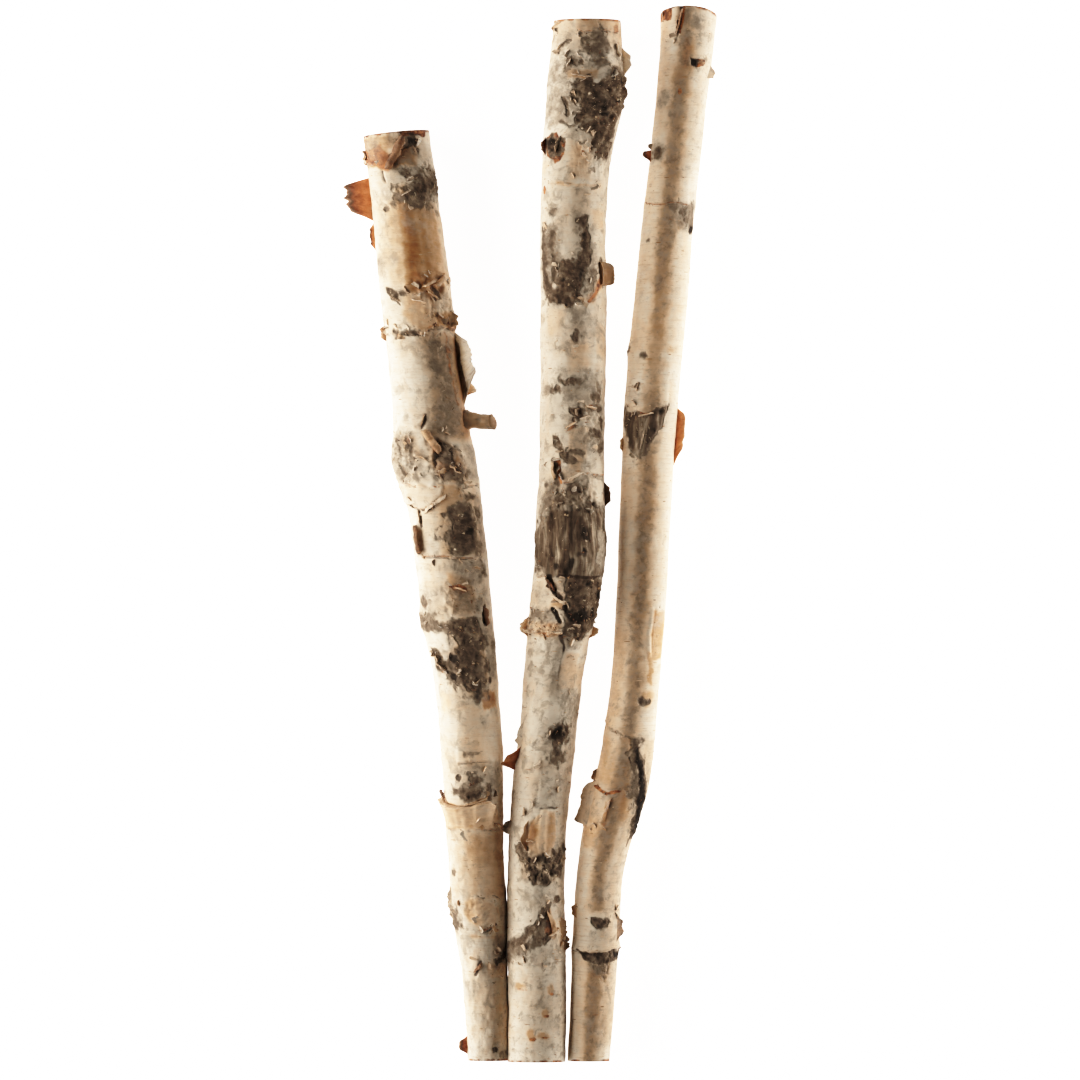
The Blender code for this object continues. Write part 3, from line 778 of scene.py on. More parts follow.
def paint_middle_top(b):
    b.film("934,160 934,15 880,0 842,60 842,175 890,178", 0.55, soft=16)
    b.scar("925,170 922,118 880,104 845,112 846,168 890,178", 0.28, soft=14)
    band = b.outline("938,112 938,20 926,22 923,58 922,96 929,112")
    b.bare(band, 0.9, soft=3)
    b.rust("937,100 937,66 925,72 925,92", 0.22, soft=6)
    b.rust(b.oval(927, 35, 5, 5, ragged=1.5), 0.4, soft=4)
    b.ledge("923,20 924,60 922,98 928,114", 0.6, rust=0.5)
    b.bare("934,165 934,120 924,118 922,150", 0.3)
    b.scar(b.line("915,120 908,138", 4, ragged=1.8, bend=3), 0.8, rise=0.3, soft=4)
    b.scar(b.line("898,118 890,104 894,96", 4, ragged=1.8, bend=3), 0.8, rise=0.3, soft=4)
    b.scar("930,72 928,58 914,54 903,54 893,48 888,62 892,86 903,96 918,100", 0.62, black=0.05, soft=9)
    b.scar("902,124 900,98 888,94 888,122", 0.55, soft=8)
    b.film("920,52 915,18 892,18 895,48", 0.7)
    b.crumple("920,50 915,10 890,10 895,48", 1.3, size=7, dark=0.5)
    b.bare("889,122 888,70 880,72 880,118", 0.75, soft=3)
    b.rust(b.line("884,108 880,92 881,74", 2.5, ragged=1.5), 0.28, soft=4)
    big = b.outline("877,110 878,90 880,75 884,62 891,54 893,36 885,12 872,-4 862,6 850,18 838,26 824,26 "
                    "812,30 812,52 820,62 829,72 836,90 845,102 856,97 866,106")
    b.scar(big, 1, black=0.2, soft=6, rise=1.2)
    b.crumple(big, 1.6, size=10, dark=0.3)
    b.black("884,37 883,27 875,27 876,37")
    b.black("851,68 851,50 844,48 845,66")
    b.clean(b.oval(878, 74, 3, 3))
    b.scar(b.line("862,124 856,116 850,112", 4, ragged=1.8, bend=3), 0.8, rise=0.3, soft=4)
    b.scar(b.line("842,122 838,108 840,96", 3, ragged=1.5, bend=3), 0.6, rise=0.2, soft=4)
    b.film("872,165 870,112 842,108 838,150", 0.9)
    b.film("836,70 836,30 812,30 812,60", 1)
    diamond = b.outline("834,130 825,113 815,112 805,127 812,146 826,160")
    b.rust(diamond, 0.9, soft=4)
    b.scar("831,138 823,116 813,116 809,128 815,144 825,152", 1, black=0.9, soft=5, halo=0, rise=0.2)
    b.bare("812,180 808,140 800,135 798,180", 0.35)
    b.bare("822,103 822,62 790,62 790,100", 0.45, soft=10)
    b.wrinkle("825,100 822,35 795,35 792,98", 0.6, pitch=7, lean=90, dark=0.15)
    b.cover("828,88 822,74 815,70 816,82", 0.5)
    b.ledge("788,150 786,100 785,55 787,20", 0.8, lift=0.5, rust=0.3, gap=0.15, wobble=1.2)
    b.bare(b.line("788,120 785,80 786,40", 3, ragged=1), 0.6, soft=3)
    b.rust(b.oval(783, 152, 4, 3), 0.8)
    b.film(b.oval(763, 128, 5, 5), 1.2)
    b.scar(b.oval(763, 128, 3, 4), 0.6, rise=0.2)
    b.film("785,90 785,60 740,55 735,90", 0.4)
    b.bare("785,95 785,60 745,60 745,90", 0.25)
    b.bare("766,58 764,20 745,20 748,55", 0.35)
    b.pale("938,178 938,2 897,2 897,178", 0.45)
    b.bare("938,178 938,2 908,2 908,178", 0.34, soft=14)


# %% The middle log's V and its pale stretch


def paint_middle_middle(b):
    b.scar(b.line("746,152 728,148 705,146 688,134", 7, end=9, ragged=1.6, bend=2.5), 0.8, rise=0.6, soft=7)
    b.scar(b.line("744,128 724,128 704,120", 5, end=6, ragged=1.6, bend=2.5), 0.75, rise=0.4, soft=6)
    b.film("752,165 750,115 700,108 690,150", 0.9)
    b.scar("748,158 746,126 700,120 686,130 700,155", 0.45, soft=10)
    b.scar(b.line("756,72 735,66 715,78 695,95", 8, end=16), 0.92, black=0.15, soft=5)
    b.scar("718,116 718,90 705,74 684,78 679,92 679,118 686,132 700,118", 1, black=0.3)
    b.film("752,90 750,50 700,45 690,80", 0.8)
    b.scar("716,70 712,45 690,50 686,78", 0.5)
    b.scar(b.line("720,34 700,32", 5, ragged=1), 0.85, soft=5)
    b.bare("702,44 700,24 682,50 684,66", 1.1, soft=4)
    b.rust(b.line("702,36 692,46 683,62", 4, ragged=1.2), 0.7, soft=3)
    b.ledge("680,150 679,110 677,85", 0.8, rust=0.4, gap=0.9)
    b.film("676,92 676,70 645,72 645,92", 0.9)
    b.film("670,72 668,30 645,35 645,72", 0.45)
    b.bare("678,142 676,106 650,108 652,138", 0.28)
    b.bare("665,45 660,15 630,15 635,45", 0.3)
    b.scar(b.oval(651, 85, 6, 3), 0.8, rise=0.3)
    b.bare("648,98 646,65 620,60 620,95", 0.42, soft=10)
    b.ledge("645,125 644,95 646,60", 0.3, rust=0.2, gap=0.3)
    grey = b.outline("622,115 622,35 590,35 585,90 602,112")
    b.film(grey, 0.85, soft=16)
    b.scar(b.line("612,112 610,88 614,62", 7, ragged=2, bend=3), 0.5, rise=0.3, soft=8)
    b.scar("612,50 611,28 598,36 600,50", 0.6, soft=7)
    b.film(b.oval(600, 150, 14, 12), 0.5)
    b.ledge("590,92 588,60 592,30", 0.7, lift=1, rust=0.4, wobble=3)
    b.rust(b.oval(589, 58, 2.5, 3), 0.45, soft=3)
    b.scar(b.oval(579, 84, 5, 4), 0.8)
    b.crumple("592,88 590,25 566,25 566,92", 1.2, size=6, dark=0.5)
    b.film("590,75 590,25 545,25 545,60", 0.5)
    b.rust(b.line("571,84 570,92 567,102", 3, ragged=1), 0.45, soft=3)
    b.cover(b.oval(576, 74, 3, 6), 0.6)
    b.bare("572,92 570,60 545,62 530,75 532,96 550,98", 0.5, soft=6)
    b.film("570,85 568,62 540,64 545,90", 0.7)
    b.scar(b.oval(558, 45, 11, 12, ragged=2), 0.55, soft=7, rise=1.2)
    for spot in ((583, 82, 5, 6), (587, 40, 3, 5), (574, 30, 5, 4), (563, 42, 5, 5), (551, 38, 4, 6),
                 (598, 48, 4, 6), (611, 96, 3, 7), (548, 84, 3, 5), (604, 122, 3, 5)):
        b.scar(b.oval(*spot, ragged=2), 0.85, soft=5, rise=0.5)
    b.scar(b.line("568,50 566,36 556,34 551,46", 3.5, ragged=1.2), 0.85, soft=4)
    b.clean(b.oval(553, 48, 2.5, 3), 0.6)
    b.scar(b.line("562,122 556,114 548,104 541,92", 5, end=8, ragged=2, bend=2.5), 0.8, soft=5, rise=0.5)
    b.scar(b.oval(556, 117, 4, 3, ragged=1), 1, black=0.3, soft=3)
    b.bare("532,108 530,86 518,84 520,106", 0.4, soft=3)
    b.scar(b.line("541,124 530,120 520,113", 5, end=3, ragged=0.8), 0.85, soft=4)
    b.rust(b.line("541,116 530,112 522,108", 3, ragged=0.8), 0.9, soft=2)
    b.ledge("520,110 524,80 529,55 527,15", 0.8, rust=0.5)
    b.film("542,100 540,60 520,60 520,100", 0.6)


# %% The middle log's great scar


def paint_middle_scar(b):
    b.film("526,150 526,15 494,10 490,160", 1, soft=10)
    b.scar("506,128 510,110 524,84 520,74 508,84 500,105 500,130", 0.85)
    b.scar("520,150 518,70 497,60 494,150", 0.52, soft=9)
    b.crumple("524,150 522,40 492,35 490,150", 1.6, size=8, dark=0.4)
    b.cover("524,62 522,20 502,20 504,55", 0.6)
    great = b.outline("500,60 496,110 492,132 478,168 460,174 445,155 438,122 438,60 436,20 450,6 470,2 "
                      "490,14 500,40")
    b.scar(great, 0.9, stripe=0.62, soft=9, rise=1, halo=0.8)
    b.scar("502,82 500,62 470,58 450,62 448,84 470,78", 1, stripe=0.6, black=0.7)
    light = ramp(b.outline("484,46 480,14 444,14 444,50", ragged=3), -2, 5)
    b.masks["scar"] *= 1 - 0.68 * light
    b.film("492,55 488,8 446,8 446,60", 0.8)
    b.scar(b.line("485,145 465,152 448,140", 4), 1, stripe=0.6, black=0.5)
    b.scar(b.line("490,118 465,122 445,112", 5), 1, stripe=0.6, black=0.4)
    b.black(b.oval(446, 110, 4, 3), 0.9)
    b.black(b.line("451,86 440,94", 5), 0.9)
    b.dark(b.line("438,105 436,60 438,30", 3), 0.9)
    lower = b.outline("437,92 438,40 428,16 405,8 394,18 383,45 382,68 392,82 405,84")
    b.scar(lower, 0.95, black=0.15, rise=1)
    b.scar("417,80 416,38 400,34 393,50 397,82", 1, black=0.7)
    b.crumple(lower, 1.5, size=9, dark=0.3)
    b.film("436,80 436,50 420,50 420,80", 0.9)
    b.cover("439,126 430,116 420,104 411,88 408,110 410,165 430,170", 1)
    b.bare("422,112 420,100 411,84 410,112", 0.5, soft=3)
    b.bare("426,175 424,135 412,135 412,175", 0.2)
    b.film(b.oval(422, 140, 8, 10), 0.4)
    b.black(b.line("437,121 423,108", 6.5, end=5))
    b.scar(b.line("421,102 416,96", 4), 0.9)
    b.rust(b.oval(419, 100, 3, 3), 0.7)
    b.black(b.line("408,107 397,91", 5, end=4), 0.95)
    b.black(b.line("410,88 400,76", 5), 0.95)
    b.scar("408,160 408,112 398,112 398,160", 0.5, soft=8)
    b.film("408,165 408,105 396,105 396,165", 0.9)
    b.bare("397,175 396,88 383,90 386,170", 0.55, soft=4)
    b.ledge("392,190 386,140 384,110 384,86 383,40 388,0", 1.3, lift=1.6, rust=0.55, wobble=4, gap=0.5)
    b.rust(b.line("395,175 390,150 394,120 391,95", 3, ragged=2, bend=3), 0.35, soft=4)
    b.crumple("399,178 398,90 381,90 382,175", 1.6, size=4, dark=0.3)
    b.dark(b.line("384,88 376,80 370,78", 4, end=2), 0.9)
    b.dark(b.line("372,78 358,80 340,82", 1.8, ragged=1), 0.6)
    b.film(b.line("378,84 358,88 334,84", 10, ragged=2), 0.9, soft=12)
    b.bare("372,76 368,45 336,45 338,80", 0.38, soft=3)
    b.bare("362,45 360,15 335,15 338,45", 0.25)
    b.film("380,110 376,84 340,86 345,105", 0.35)


# %% The middle log's lower half


def paint_middle_bottom(b):
    b.film("334,78 334,12 306,12 304,60", 0.6, soft=12)
    b.wrinkle("334,75 334,15 306,15 306,60", 1, pitch=9, lean=55, dark=0.35)
    b.scar("310,76 303,88 297,94 290,86 284,82 283,58 292,46 304,50", 0.95, black=0.3)
    b.scar("284,84 283,54 272,54 268,74 274,86", 0.72)
    b.film("310,48 306,15 270,12 270,55", 0.4)
    b.film("270,100 270,30 232,30 234,95", 0.38, soft=16)
    b.ledge("258,95 250,75 238,70", 0.6, side=-1, lift=0.6, rust=0, gap=0.2, wobble=1)
    b.ledge("268,170 264,140 266,110", 0.4, rust=0.4, gap=0.4)
    torn = b.outline("228,86 224,94 218,104 208,112 197,110 190,96 190,62 205,52 228,56", ragged=1.2, bend=1)
    b.clean(torn)
    b.bare(torn, 0.62, soft=2)
    b.bare("224,94 218,104 208,112 197,110 191,98 205,90", 0.96, soft=5)
    b.dark(b.line("222,98 213,108 203,114 194,110", 2.4), 0.55)
    b.rust("220,98 212,106 198,107 194,98 208,94", 0.3, soft=6)
    b.bare("227,72 227,58 196,58 198,72", 0.78, soft=4)
    b.clean(b.line("227,80 210,81 192,82", 5.5, end=4), 0.3)
    b.rise += 1.1 * ramp(b.line("227,80 210,81 192,82", 6), -1.5, 1.5)
    b.dark(b.line("230,88 230,56", 2.2), 0.85)
    for places, wide, depth in (
        ("194,128 188,118 181,104", 8, 0.95), ("186,112 183,96 186,86", 7, 0.85),
        ("184,68 182,56 188,40 194,24", 7, 0.95), ("176,104 168,88 167,74", 8, 0.9),
        ("178,62 172,48 176,36", 7, 0.85), ("190,60 186,46", 5, 0.9),
    ):
        b.scar(b.line(places, wide, ragged=1.2, bend=2), depth, black=0.1, soft=5)
    ring = b.outline("198,128 192,100 190,60 198,22 184,14 164,50 160,84 170,118")
    b.scar(ring, 0.32, soft=10)
    b.bare(ring, 0.5, soft=6)
    b.crumple(ring, 1.9, size=6, dark=0.6)
    b.film("160,120 160,40 142,40 142,120", 0.3)
    b.scar(b.oval(148, 42, 3, 4, ragged=0.8), 0.9)
    diagonal = b.outline("142,64 132,80 124,96 113,114 109,150 95,160 98,120 106,96 110,76 128,60")
    b.film(diagonal, 1.3, soft=10)
    b.scar(diagonal, 0.58, soft=12, black=0.05)
    b.scar(b.line("141,66 130,82 122,96 114,114 108,140", 5, end=8), 0.9, soft=5)
    b.bare("142,66 140,57 116,58 112,74 122,78", 1, soft=3)
    b.rust("141,65 138,58 118,66 116,76 124,76", 0.5, soft=4)
    b.bare(b.line("128,56 118,54", 5), 0.7, soft=2)
    b.scar(b.oval(113, 80, 5, 5), 1)
    b.scar(b.oval(100, 164, 8, 6), 0.85)
    b.bare("132,40 128,10 98,8 104,38", 0.45)
    b.crumple("134,42 128,5 98,5 104,40", 1, size=6, dark=0.5)
    b.ledge("96,180 91,140 90,90 92,40 96,0", 0.9, rust=0.3, gap=0.5, wobble=1.5)
    b.film("108,120 108,30 92,30 92,120", 0.5)
    for along, turn, length, width in (
        (70, 132, 3, 7), (67, 62, 5, 3), (47, 73, 4, 4), (27, 104, 5, 4), (27, 78, 3, 5),
    ):
        b.bare(b.oval(along, turn, length, width, ragged=1.6), 0.75, soft=3)
        b.rust(b.oval(along - 0.7 * length, turn - 3, 0.3 * length, 0.8 * width, ragged=0.8), 0.55)
    b.film("88,96 86,18 4,18 4,84", 0.35, soft=16)
    b.rise += 0.8 * ramp(b.outline("160,212 160,148 -20,148 -20,212", ragged=0), -4, 8)
    # Painted light: the left flank, which faces the left log and lies in its shade, is made paler in three
    # stretches.
    b.pale("400,182 400,136 205,136 205,182", 0.7)
    b.pale("600,182 600,138 500,138 500,182", 0.6)
    b.pale("800,182 800,134 700,134 700,182", 0.35)


# %% The right log's upper half


def paint_right_top(b):
    # Painted shade: darker tan and grey film in a band down the crown, where the side lights fall least.
    b.bare(b.outline("945,104 945,76 470,74 5,78 5,104 470,106", ragged=3), 0.5, soft=11)
    crown_shade = b.line("945,97 820,96 600,92 400,98 200,92 5,94", 15, ragged=2, bend=2.5)
    b.bare(crown_shade, 0.68, soft=12)
    b.film(crown_shade, 0.85, soft=13)
    b.rust("921,100 918,84 905,82 890,88 892,100", 0.32, soft=9)
    b.bare(b.outline("945,190 945,112 5,112 5,190", ragged=6), 0.06, soft=16)
    b.rust(b.outline("942,178 940,122 933,126 934,178", ragged=1), 0.8)
    b.bare("935,165 936,120 918,116 917,160", 0.15)
    b.ledge("917,165 916,122 921,112", 0.5, rust=0.5, wobble=1)
    b.dark(b.line("946,106 936,107 919,116", 4.5, end=1, ragged=0.3), 1)
    b.rust(b.line("946,102 936,103 924,110", 2.5), 0.8)
    b.rust(b.line("944,175 945,150 942,122", 3), 0.7)
    b.bare("922,106 920,82 889,80 890,104", 0.62, soft=8)
    b.film(b.oval(930, 74, 6, 6), 1)
    b.film(b.oval(915, 70, 8, 5), 0.6)
    b.black(b.outline("902,85 900,66 893,66 894,82", ragged=0.8))
    b.rust(b.outline("900,68 899,46 893,50 893,66", ragged=0.8), 1)
    b.scar(b.oval(897, 66, 5, 9), 0.5, rise=0.8)
    b.film(b.oval(865, 140, 9, 8), 0.95)
    b.rust(b.oval(870, 98, 3, 2), 0.5)
    b.film(b.oval(818, 135, 9, 10), 1.1)
    b.scar("824,138 821,118 812,124 811,150", 0.8)
    b.ledge("772,170 769,110 772,80 768,40", 0.5, lift=0.5, rust=0.5, wobble=0.8, gap=0.5)
    b.film("774,100 773,12 745,10 748,60 764,96", 1.1)
    b.scar("773,96 772,72 762,70 762,92", 0.5, rise=0.4)
    b.scar("772,68 770,20 746,10 746,36 756,58", 0.6, stripe=0.5)
    b.black(b.oval(748, 24, 4, 6), 0.95)
    b.bare(b.oval(752, 60, 4, 4), 0.8)
    b.scar(b.oval(739, 134, 2, 2), 0.6, rise=0.1)
    b.film("650,185 648,135 622,130 622,185", 0.45)
    b.scar(b.oval(641, 172, 6, 5), 0.55)
    b.scar(b.oval(635, 118, 3.5, 4), 0.7, rise=0.4)
    b.bare(b.oval(640, 60, 3, 5), 0.6)
    b.film("606,150 604,75 590,70 590,150", 0.8)
    b.wrinkle("606,140 604,70 590,70 590,140", 0.6, pitch=5, dark=0.3)


# %% The right log's lower half


def paint_right_bottom(b):
    wedge = b.outline("590,172 587,145 584,122 580,102 586,82 592,52 580,60 568,72 557,86 546,100 544,112 "
                      "550,132 563,152 578,172", ragged=1.2)
    b.scar(wedge, 0.85, stripe=0.5, soft=5, halo=0.7)
    b.scar(b.outline("588,84 591,56 578,62 566,74 552,92 556,100 572,92 580,98", ragged=1), 1, black=0.25,
           soft=3)
    b.clean(b.line("568,100 552,108", 1.6), 0.3)
    b.bare("594,150 592,112 585,112 583,140", 0.35, soft=3)
    b.rust(b.outline("584,118 582,96 575,100 574,112", ragged=0.8), 0.75)
    b.ledge("592,165 586,120 580,102 588,80 592,50", 0.8, rust=0.4, wobble=0.8)
    b.wrinkle("543,150 543,80 534,84 534,145", 0.7, pitch=4, dark=0.7)
    b.bare("536,150 534,88 500,88 502,145", 0.3, soft=10)
    # Painted light: less tan on the left flank, which the middle log shades.
    flank = b.outline("530,185 530,104 320,104 320,185", ragged=4)
    b.masks["tan"] -= 0.22 * ramp(flank, -6, 10)
    b.bare(b.outline("407,60 405,18 384,14 364,22 362,58 385,62", ragged=1.5), 0.62, soft=3)
    lip = b.line("407,66 385,68 366,66", 3.5)
    b.clean(lip)
    b.rise += 0.9 * ramp(lip, -1, 1.5)
    b.bare(b.line("405,58 385,60 370,58", 3), 0.95, soft=4)
    b.ledge("407,18 408,64", 0.5, side=-1, lift=0.4, rust=0.3, gap=0.2, wobble=0.5)
    b.bare("372,72 370,52 338,50 342,66", 0.6, soft=4)
    b.ledge("366,110 365,85 366,62", 0.3, rust=0.1, gap=0.5, wobble=0.5)
    b.scar(b.line("328,76 323,66 325,54", 3.6, ragged=1.4), 0.8, soft=4, rise=0.9)
    b.bare(b.oval(328, 60, 7, 9), 0.5, soft=6)
    b.scar(b.line("309,182 300,135 295,100 292,66", 2.5, end=3, ragged=1.2), 0.5, soft=4, rise=0.4)
    b.ledge("308,185 299,130 294,100 291,75", 0.8, lift=0.7, rust=0.3, wobble=0.6, gap=0.8)
    b.bare("294,108 292,84 284,84 286,106", 0.8, soft=3)
    b.bare("300,175 290,110 256,92 246,110 256,175", 0.42, soft=6)
    b.scar("292,92 290,66 262,50 236,38 232,58 246,80 268,84", 0.62, soft=9, halo=0.9)
    b.scar(b.line("288,78 272,62 252,46 234,36 210,24", 6, end=13, ragged=2), 1, black=0.6, rise=2.4, soft=3,
           mottle=0.3)
    b.black(b.line("282,70 262,54 240,40 214,24", 4, end=9, ragged=1.8))
    b.bare("285,92 262,72 240,58 214,50 214,88 240,100 270,104", 0.8, soft=14)
    b.scar(b.line("212,30 194,36", 3.5, end=1), 1, black=0.8)
    b.film("262,55 258,5 225,5 236,40", 0.7)
    b.ledge("254,185 249,145 243,112 246,92 246,80", 0.9, side=-1, lift=1, rust=1, wobble=0.8)
    b.rust(b.line("254,178 249,145 243,112 245,94", 1.8), 0.95)
    b.bare("248,102 250,82 225,84 222,100", 0.75, soft=4)
    b.film("246,175 242,112 222,108 216,175", 0.6)
    b.bare("236,112 232,100 214,100 216,110", 1, soft=2)
    b.ledge("214,185 213,140 218,104", 0.7, rust=0.5, wobble=1.5)
    b.bare("216,160 214,90 192,92 194,150", 0.42, soft=4)
    b.film("210,75 205,35 160,35 165,72", 0.3)
    b.ledge("139,170 139,90 139,20", 0.4, lift=0.3, rust=0.1, gap=0.25, wobble=0.6)
    b.clean("138,150 138,30 101,30 101,150", 0)
    b.film("136,140 136,30 101,30 101,140", 0.35)
    b.scar(b.outline("133,108 131,82 134,52 128,56 122,70 121,86 127,102", ragged=0.8), 0.95, black=0.35,
           soft=4)
    b.scar(b.outline("102,140 100,95 102,60 102,-8 92,-8 91,90 94,118", ragged=0.7), 1, black=0.8, soft=1.5,
           rise=0.3, halo=0.2)
    b.ledge("102,175 100,95 103,40 102,-20", 1.1, lift=0.9, rust=0.3, wobble=0.5, gap=1)
    b.rust(b.line("93,104 92,50", 2.4, ragged=1), 0.7, soft=3)
    b.bare("92,112 92,46 74,58 74,104", 0.9, soft=9)
    b.film("92,108 92,50 76,58 76,100", 0.9, soft=10)
    b.scar("91,104 91,55 82,56 76,76 84,98", 0.55, soft=8, rise=0.2)
    b.film("88,100 86,55 25,65 25,92", 0.35)
    b.bare("80,140 80,110 5,110 5,140", 0.25, soft=10)
    # Painted light: the left flank, shaded by the middle log, is made paler, and the painted crown shade is
    # eased between 605 and 690 mm along.
    b.clean("90,215 90,142 2,142 2,215", -0.1)
    b.pale("190,182 190,112 0,112 0,182", 0.7)
    b.pale("690,182 690,116 410,116 410,182", 0.5)
    b.pale("690,116 690,62 605,62 605,116", 0.35)
    flank = b.outline("390,180 390,114 215,114 215,180", ragged=4)
    b.bare(flank, 0.42, soft=14)
    b.film(flank, 0.35)
    flank = b.outline("290,66 290,0 10,0 10,66", ragged=4)
    b.bare(flank, 0.28, soft=14)
    b.film(flank, 0.5, soft=14)
    b.film(b.outline("940,66 940,0 800,0 800,66", ragged=4), 0.4, soft=14)


# %% Paint all three
barks = {}
for log, seed, strokes in (
    (left, 3, (paint_left_top, paint_left_knot, paint_left_bottom)),
    (middle, 8, (paint_middle_top, paint_middle_middle, paint_middle_scar, paint_middle_bottom)),
    (right, 14, (paint_right_top, paint_right_bottom)),
):
    bark = Bark(log, seed)
    for paint in strokes:
        paint(bark)
    bark.shaded_underside()
    bark.finish_relief()
    barks[log.name] = bark
    print(log.name, "grid", bark.rows, "x", bark.columns, "highest relief, mm:", bark.rise.max().round(1))

# %% [markdown]
# ## From grid to mesh
#
# The grid becomes quads that close round the log, and each end gets a saw cut: rings that shrink
# towards the pith. The masks go onto the mesh as attributes, with two more that say where a point
# is. bark_at holds millimetres round and along the log, for patterns that are stretched one way,
# and grain_at is the straightened place, for patterns that must meet round the back. cut_at is for
# the saw cuts: how far out a point lies from the pith, as a share of the way and in millimetres.

# %% Build the bark meshes
CUT_RINGS = (0.985, 0.95, 0.9, 0.8, 0.66, 0.5, 0.34, 0.18, 0.06)
ON_BARK = (1.0, 30.0, 0.0)  # cut_at away from the saw cuts


def store(mesh, name, values):
    """Writes a number or a place for each point onto the mesh."""
    kind, field = ("FLOAT", "value") if values.ndim == 1 else ("FLOAT_VECTOR", "vector")
    mesh.attributes.new(name, kind, "POINT").data.foreach_set(field, values.astype(np.float32).ravel())


def bark_mesh(bark):
    points = bark.points()
    rows, columns = bark.rows, bark.columns
    spots = [points.reshape(-1, 3)]
    grid = np.arange(rows * columns).reshape(rows, columns)
    beside = np.roll(grid, -1, axis=1)
    quads = np.stack([grid[:-1], beside[:-1], beside[1:], grid[1:]], axis=-1).reshape(-1, 4)
    count = rows * columns
    cut_at = [np.tile(ON_BARK, (count, 1))]
    walls = [quads]
    pith_faces = []
    for end, row in (("foot", 0), ("head", rows - 1)):
        rim = points[row]
        middle = rim.mean(axis=0)
        girth = np.linalg.norm(rim - middle, axis=1).mean() / MM
        outer = grid[row]
        for part in CUT_RINGS:
            inner = np.arange(count, count + columns)
            count += columns
            spots.append(middle + (rim - middle) * part)
            cut_at.append(np.tile((part, part * girth, 0.0), (columns, 1)))
            pair = [outer, np.roll(outer, -1), np.roll(inner, -1), inner]
            pair = pair[::-1] if end == "foot" else pair
            walls.append(np.stack(pair, axis=-1))
            outer = inner
        spots.append(middle[None])
        cut_at.append(np.zeros((1, 3)))
        pith = np.full(columns, count)
        count += 1
        fan = [outer, np.roll(outer, -1), pith]
        pith_faces.append(np.stack(fan[::-1] if end == "foot" else fan, axis=-1))
    spots = np.concatenate(spots)
    all_quads = np.concatenate(walls)
    faces = all_quads.tolist() + np.concatenate(pith_faces).tolist()
    mesh = bpy.data.meshes.new(bark.log.name + "_bark")
    mesh.from_pydata(spots.tolist(), [], faces)
    kinds = np.ones(len(faces), np.int32)
    kinds[: len(quads)] = 0
    mesh.polygons.foreach_set("material_index", kinds)
    mesh.shade_smooth()
    on_cuts = len(spots) - bark.along.size
    for name in MASKS:
        store(mesh, name, np.append(bark.masks[name], np.zeros(on_cuts)))
    round_log = np.radians(bark.turn - SEAM) * bark.radius
    flat = np.stack([round_log, bark.along, np.zeros_like(round_log)], axis=-1)
    for name, places in (("bark_at", flat), ("grain_at", bark.straight)):
        store(mesh, name, np.append(places, np.zeros((on_cuts, 3))).reshape(-1, 3))
    store(mesh, "cut_at", np.concatenate(cut_at))
    return mesh


def in_scene(name, data):
    """A new object with this data, linked into the scene."""
    obj = bpy.data.objects.new(name, data)
    bpy.context.scene.collection.objects.link(obj)
    return obj


bark_objects = {}
for name, bark in barks.items():
    obj = bark_objects[name] = in_scene(name.replace("_log", "_bark"), bark_mesh(bark))
    print(obj.name, len(obj.data.polygons), "faces")

# %% [markdown]
# ## Nodes with less typing
#
# A material is a network of small steps. These helpers add a node, set its inputs by name and
# link them, so that the materials below read as a list of steps.

# %% Node helpers


def fill(tree, node, inputs):
    """Sets a node's inputs; each is a value or another node's output."""
    for key, value in dict(inputs).items():
        if isinstance(value, bpy.types.NodeSocket):
            tree.links.new(value, node.inputs[key])
        else:
            node.inputs[key].default_value = value
    return node


def put(tree, kind, inputs=(), **settings):
    """Adds a node with its settings and its inputs."""
    node = tree.nodes.new(kind)
    for name, value in settings.items():
        setattr(node, name, value)
    return fill(tree, node, inputs)


def attribute(tree, name, output="Fac"):
    return put(tree, "ShaderNodeAttribute", attribute_name=name).outputs[output]


def sums(tree, operation, a, b=0.0, clamp=False):
    return put(tree, "ShaderNodeMath", {0: a, 1: b}, operation=operation, use_clamp=clamp).outputs[0]


def plus(tree, a, b, clamp=False):
    return sums(tree, "ADD", a, b, clamp)


def times(tree, a, b, clamp=False):
    return sums(tree, "MULTIPLY", a, b, clamp)


def swing(tree, noise, share):
    """How far a noise is from its middle, times share."""
    return times(tree, sums(tree, "SUBTRACT", noise, 0.5), share)


def between(tree, value, low, high, to_low=0.0, to_high=1.0):
    """A smooth step from to_low to to_high as value goes from low to high."""
    settings = {"Value": value, "From Min": low, "From Max": high, "To Min": to_low, "To Max": to_high}
    return put(tree, "ShaderNodeMapRange", settings, interpolation_type="SMOOTHSTEP").outputs[0]


def mixed(tree, factor, a, b):
    return put(tree, "ShaderNodeMix", {0: factor, 6: a, 7: b}, data_type="RGBA").outputs[2]


def cloud_node(tree, at, size, detail, rough=0.55, stretch=(1, 1, 1), warp=0.0):
    """Noise whose largest blotch is about size across, in the units of at; stretch makes it longer."""
    scale = tuple(1 / (size * s) for s in stretch)
    scaled = put(tree, "ShaderNodeMapping", {"Vector": at, "Scale": scale}).outputs[0]
    settings = {"Vector": scaled, "Scale": 1.0, "Detail": detail, "Roughness": rough, "Distortion": warp}
    return put(tree, "ShaderNodeTexNoise", settings).outputs["Fac"]


def new_group(name, inputs, outputs):
    """An empty node group with named sockets: (name, kind, default)."""
    group = bpy.data.node_groups.new(name, "ShaderNodeTree")
    for socket_name, kind, default in inputs:
        socket = group.interface.new_socket(socket_name, in_out="INPUT", socket_type=kind)
        socket.default_value = default
    for socket_name, kind in outputs:
        group.interface.new_socket(socket_name, in_out="OUTPUT", socket_type=kind)
    return group, group.nodes.new("NodeGroupInput"), group.nodes.new("NodeGroupOutput")


NUMBER, COLOUR = "NodeSocketFloat", "NodeSocketColor"

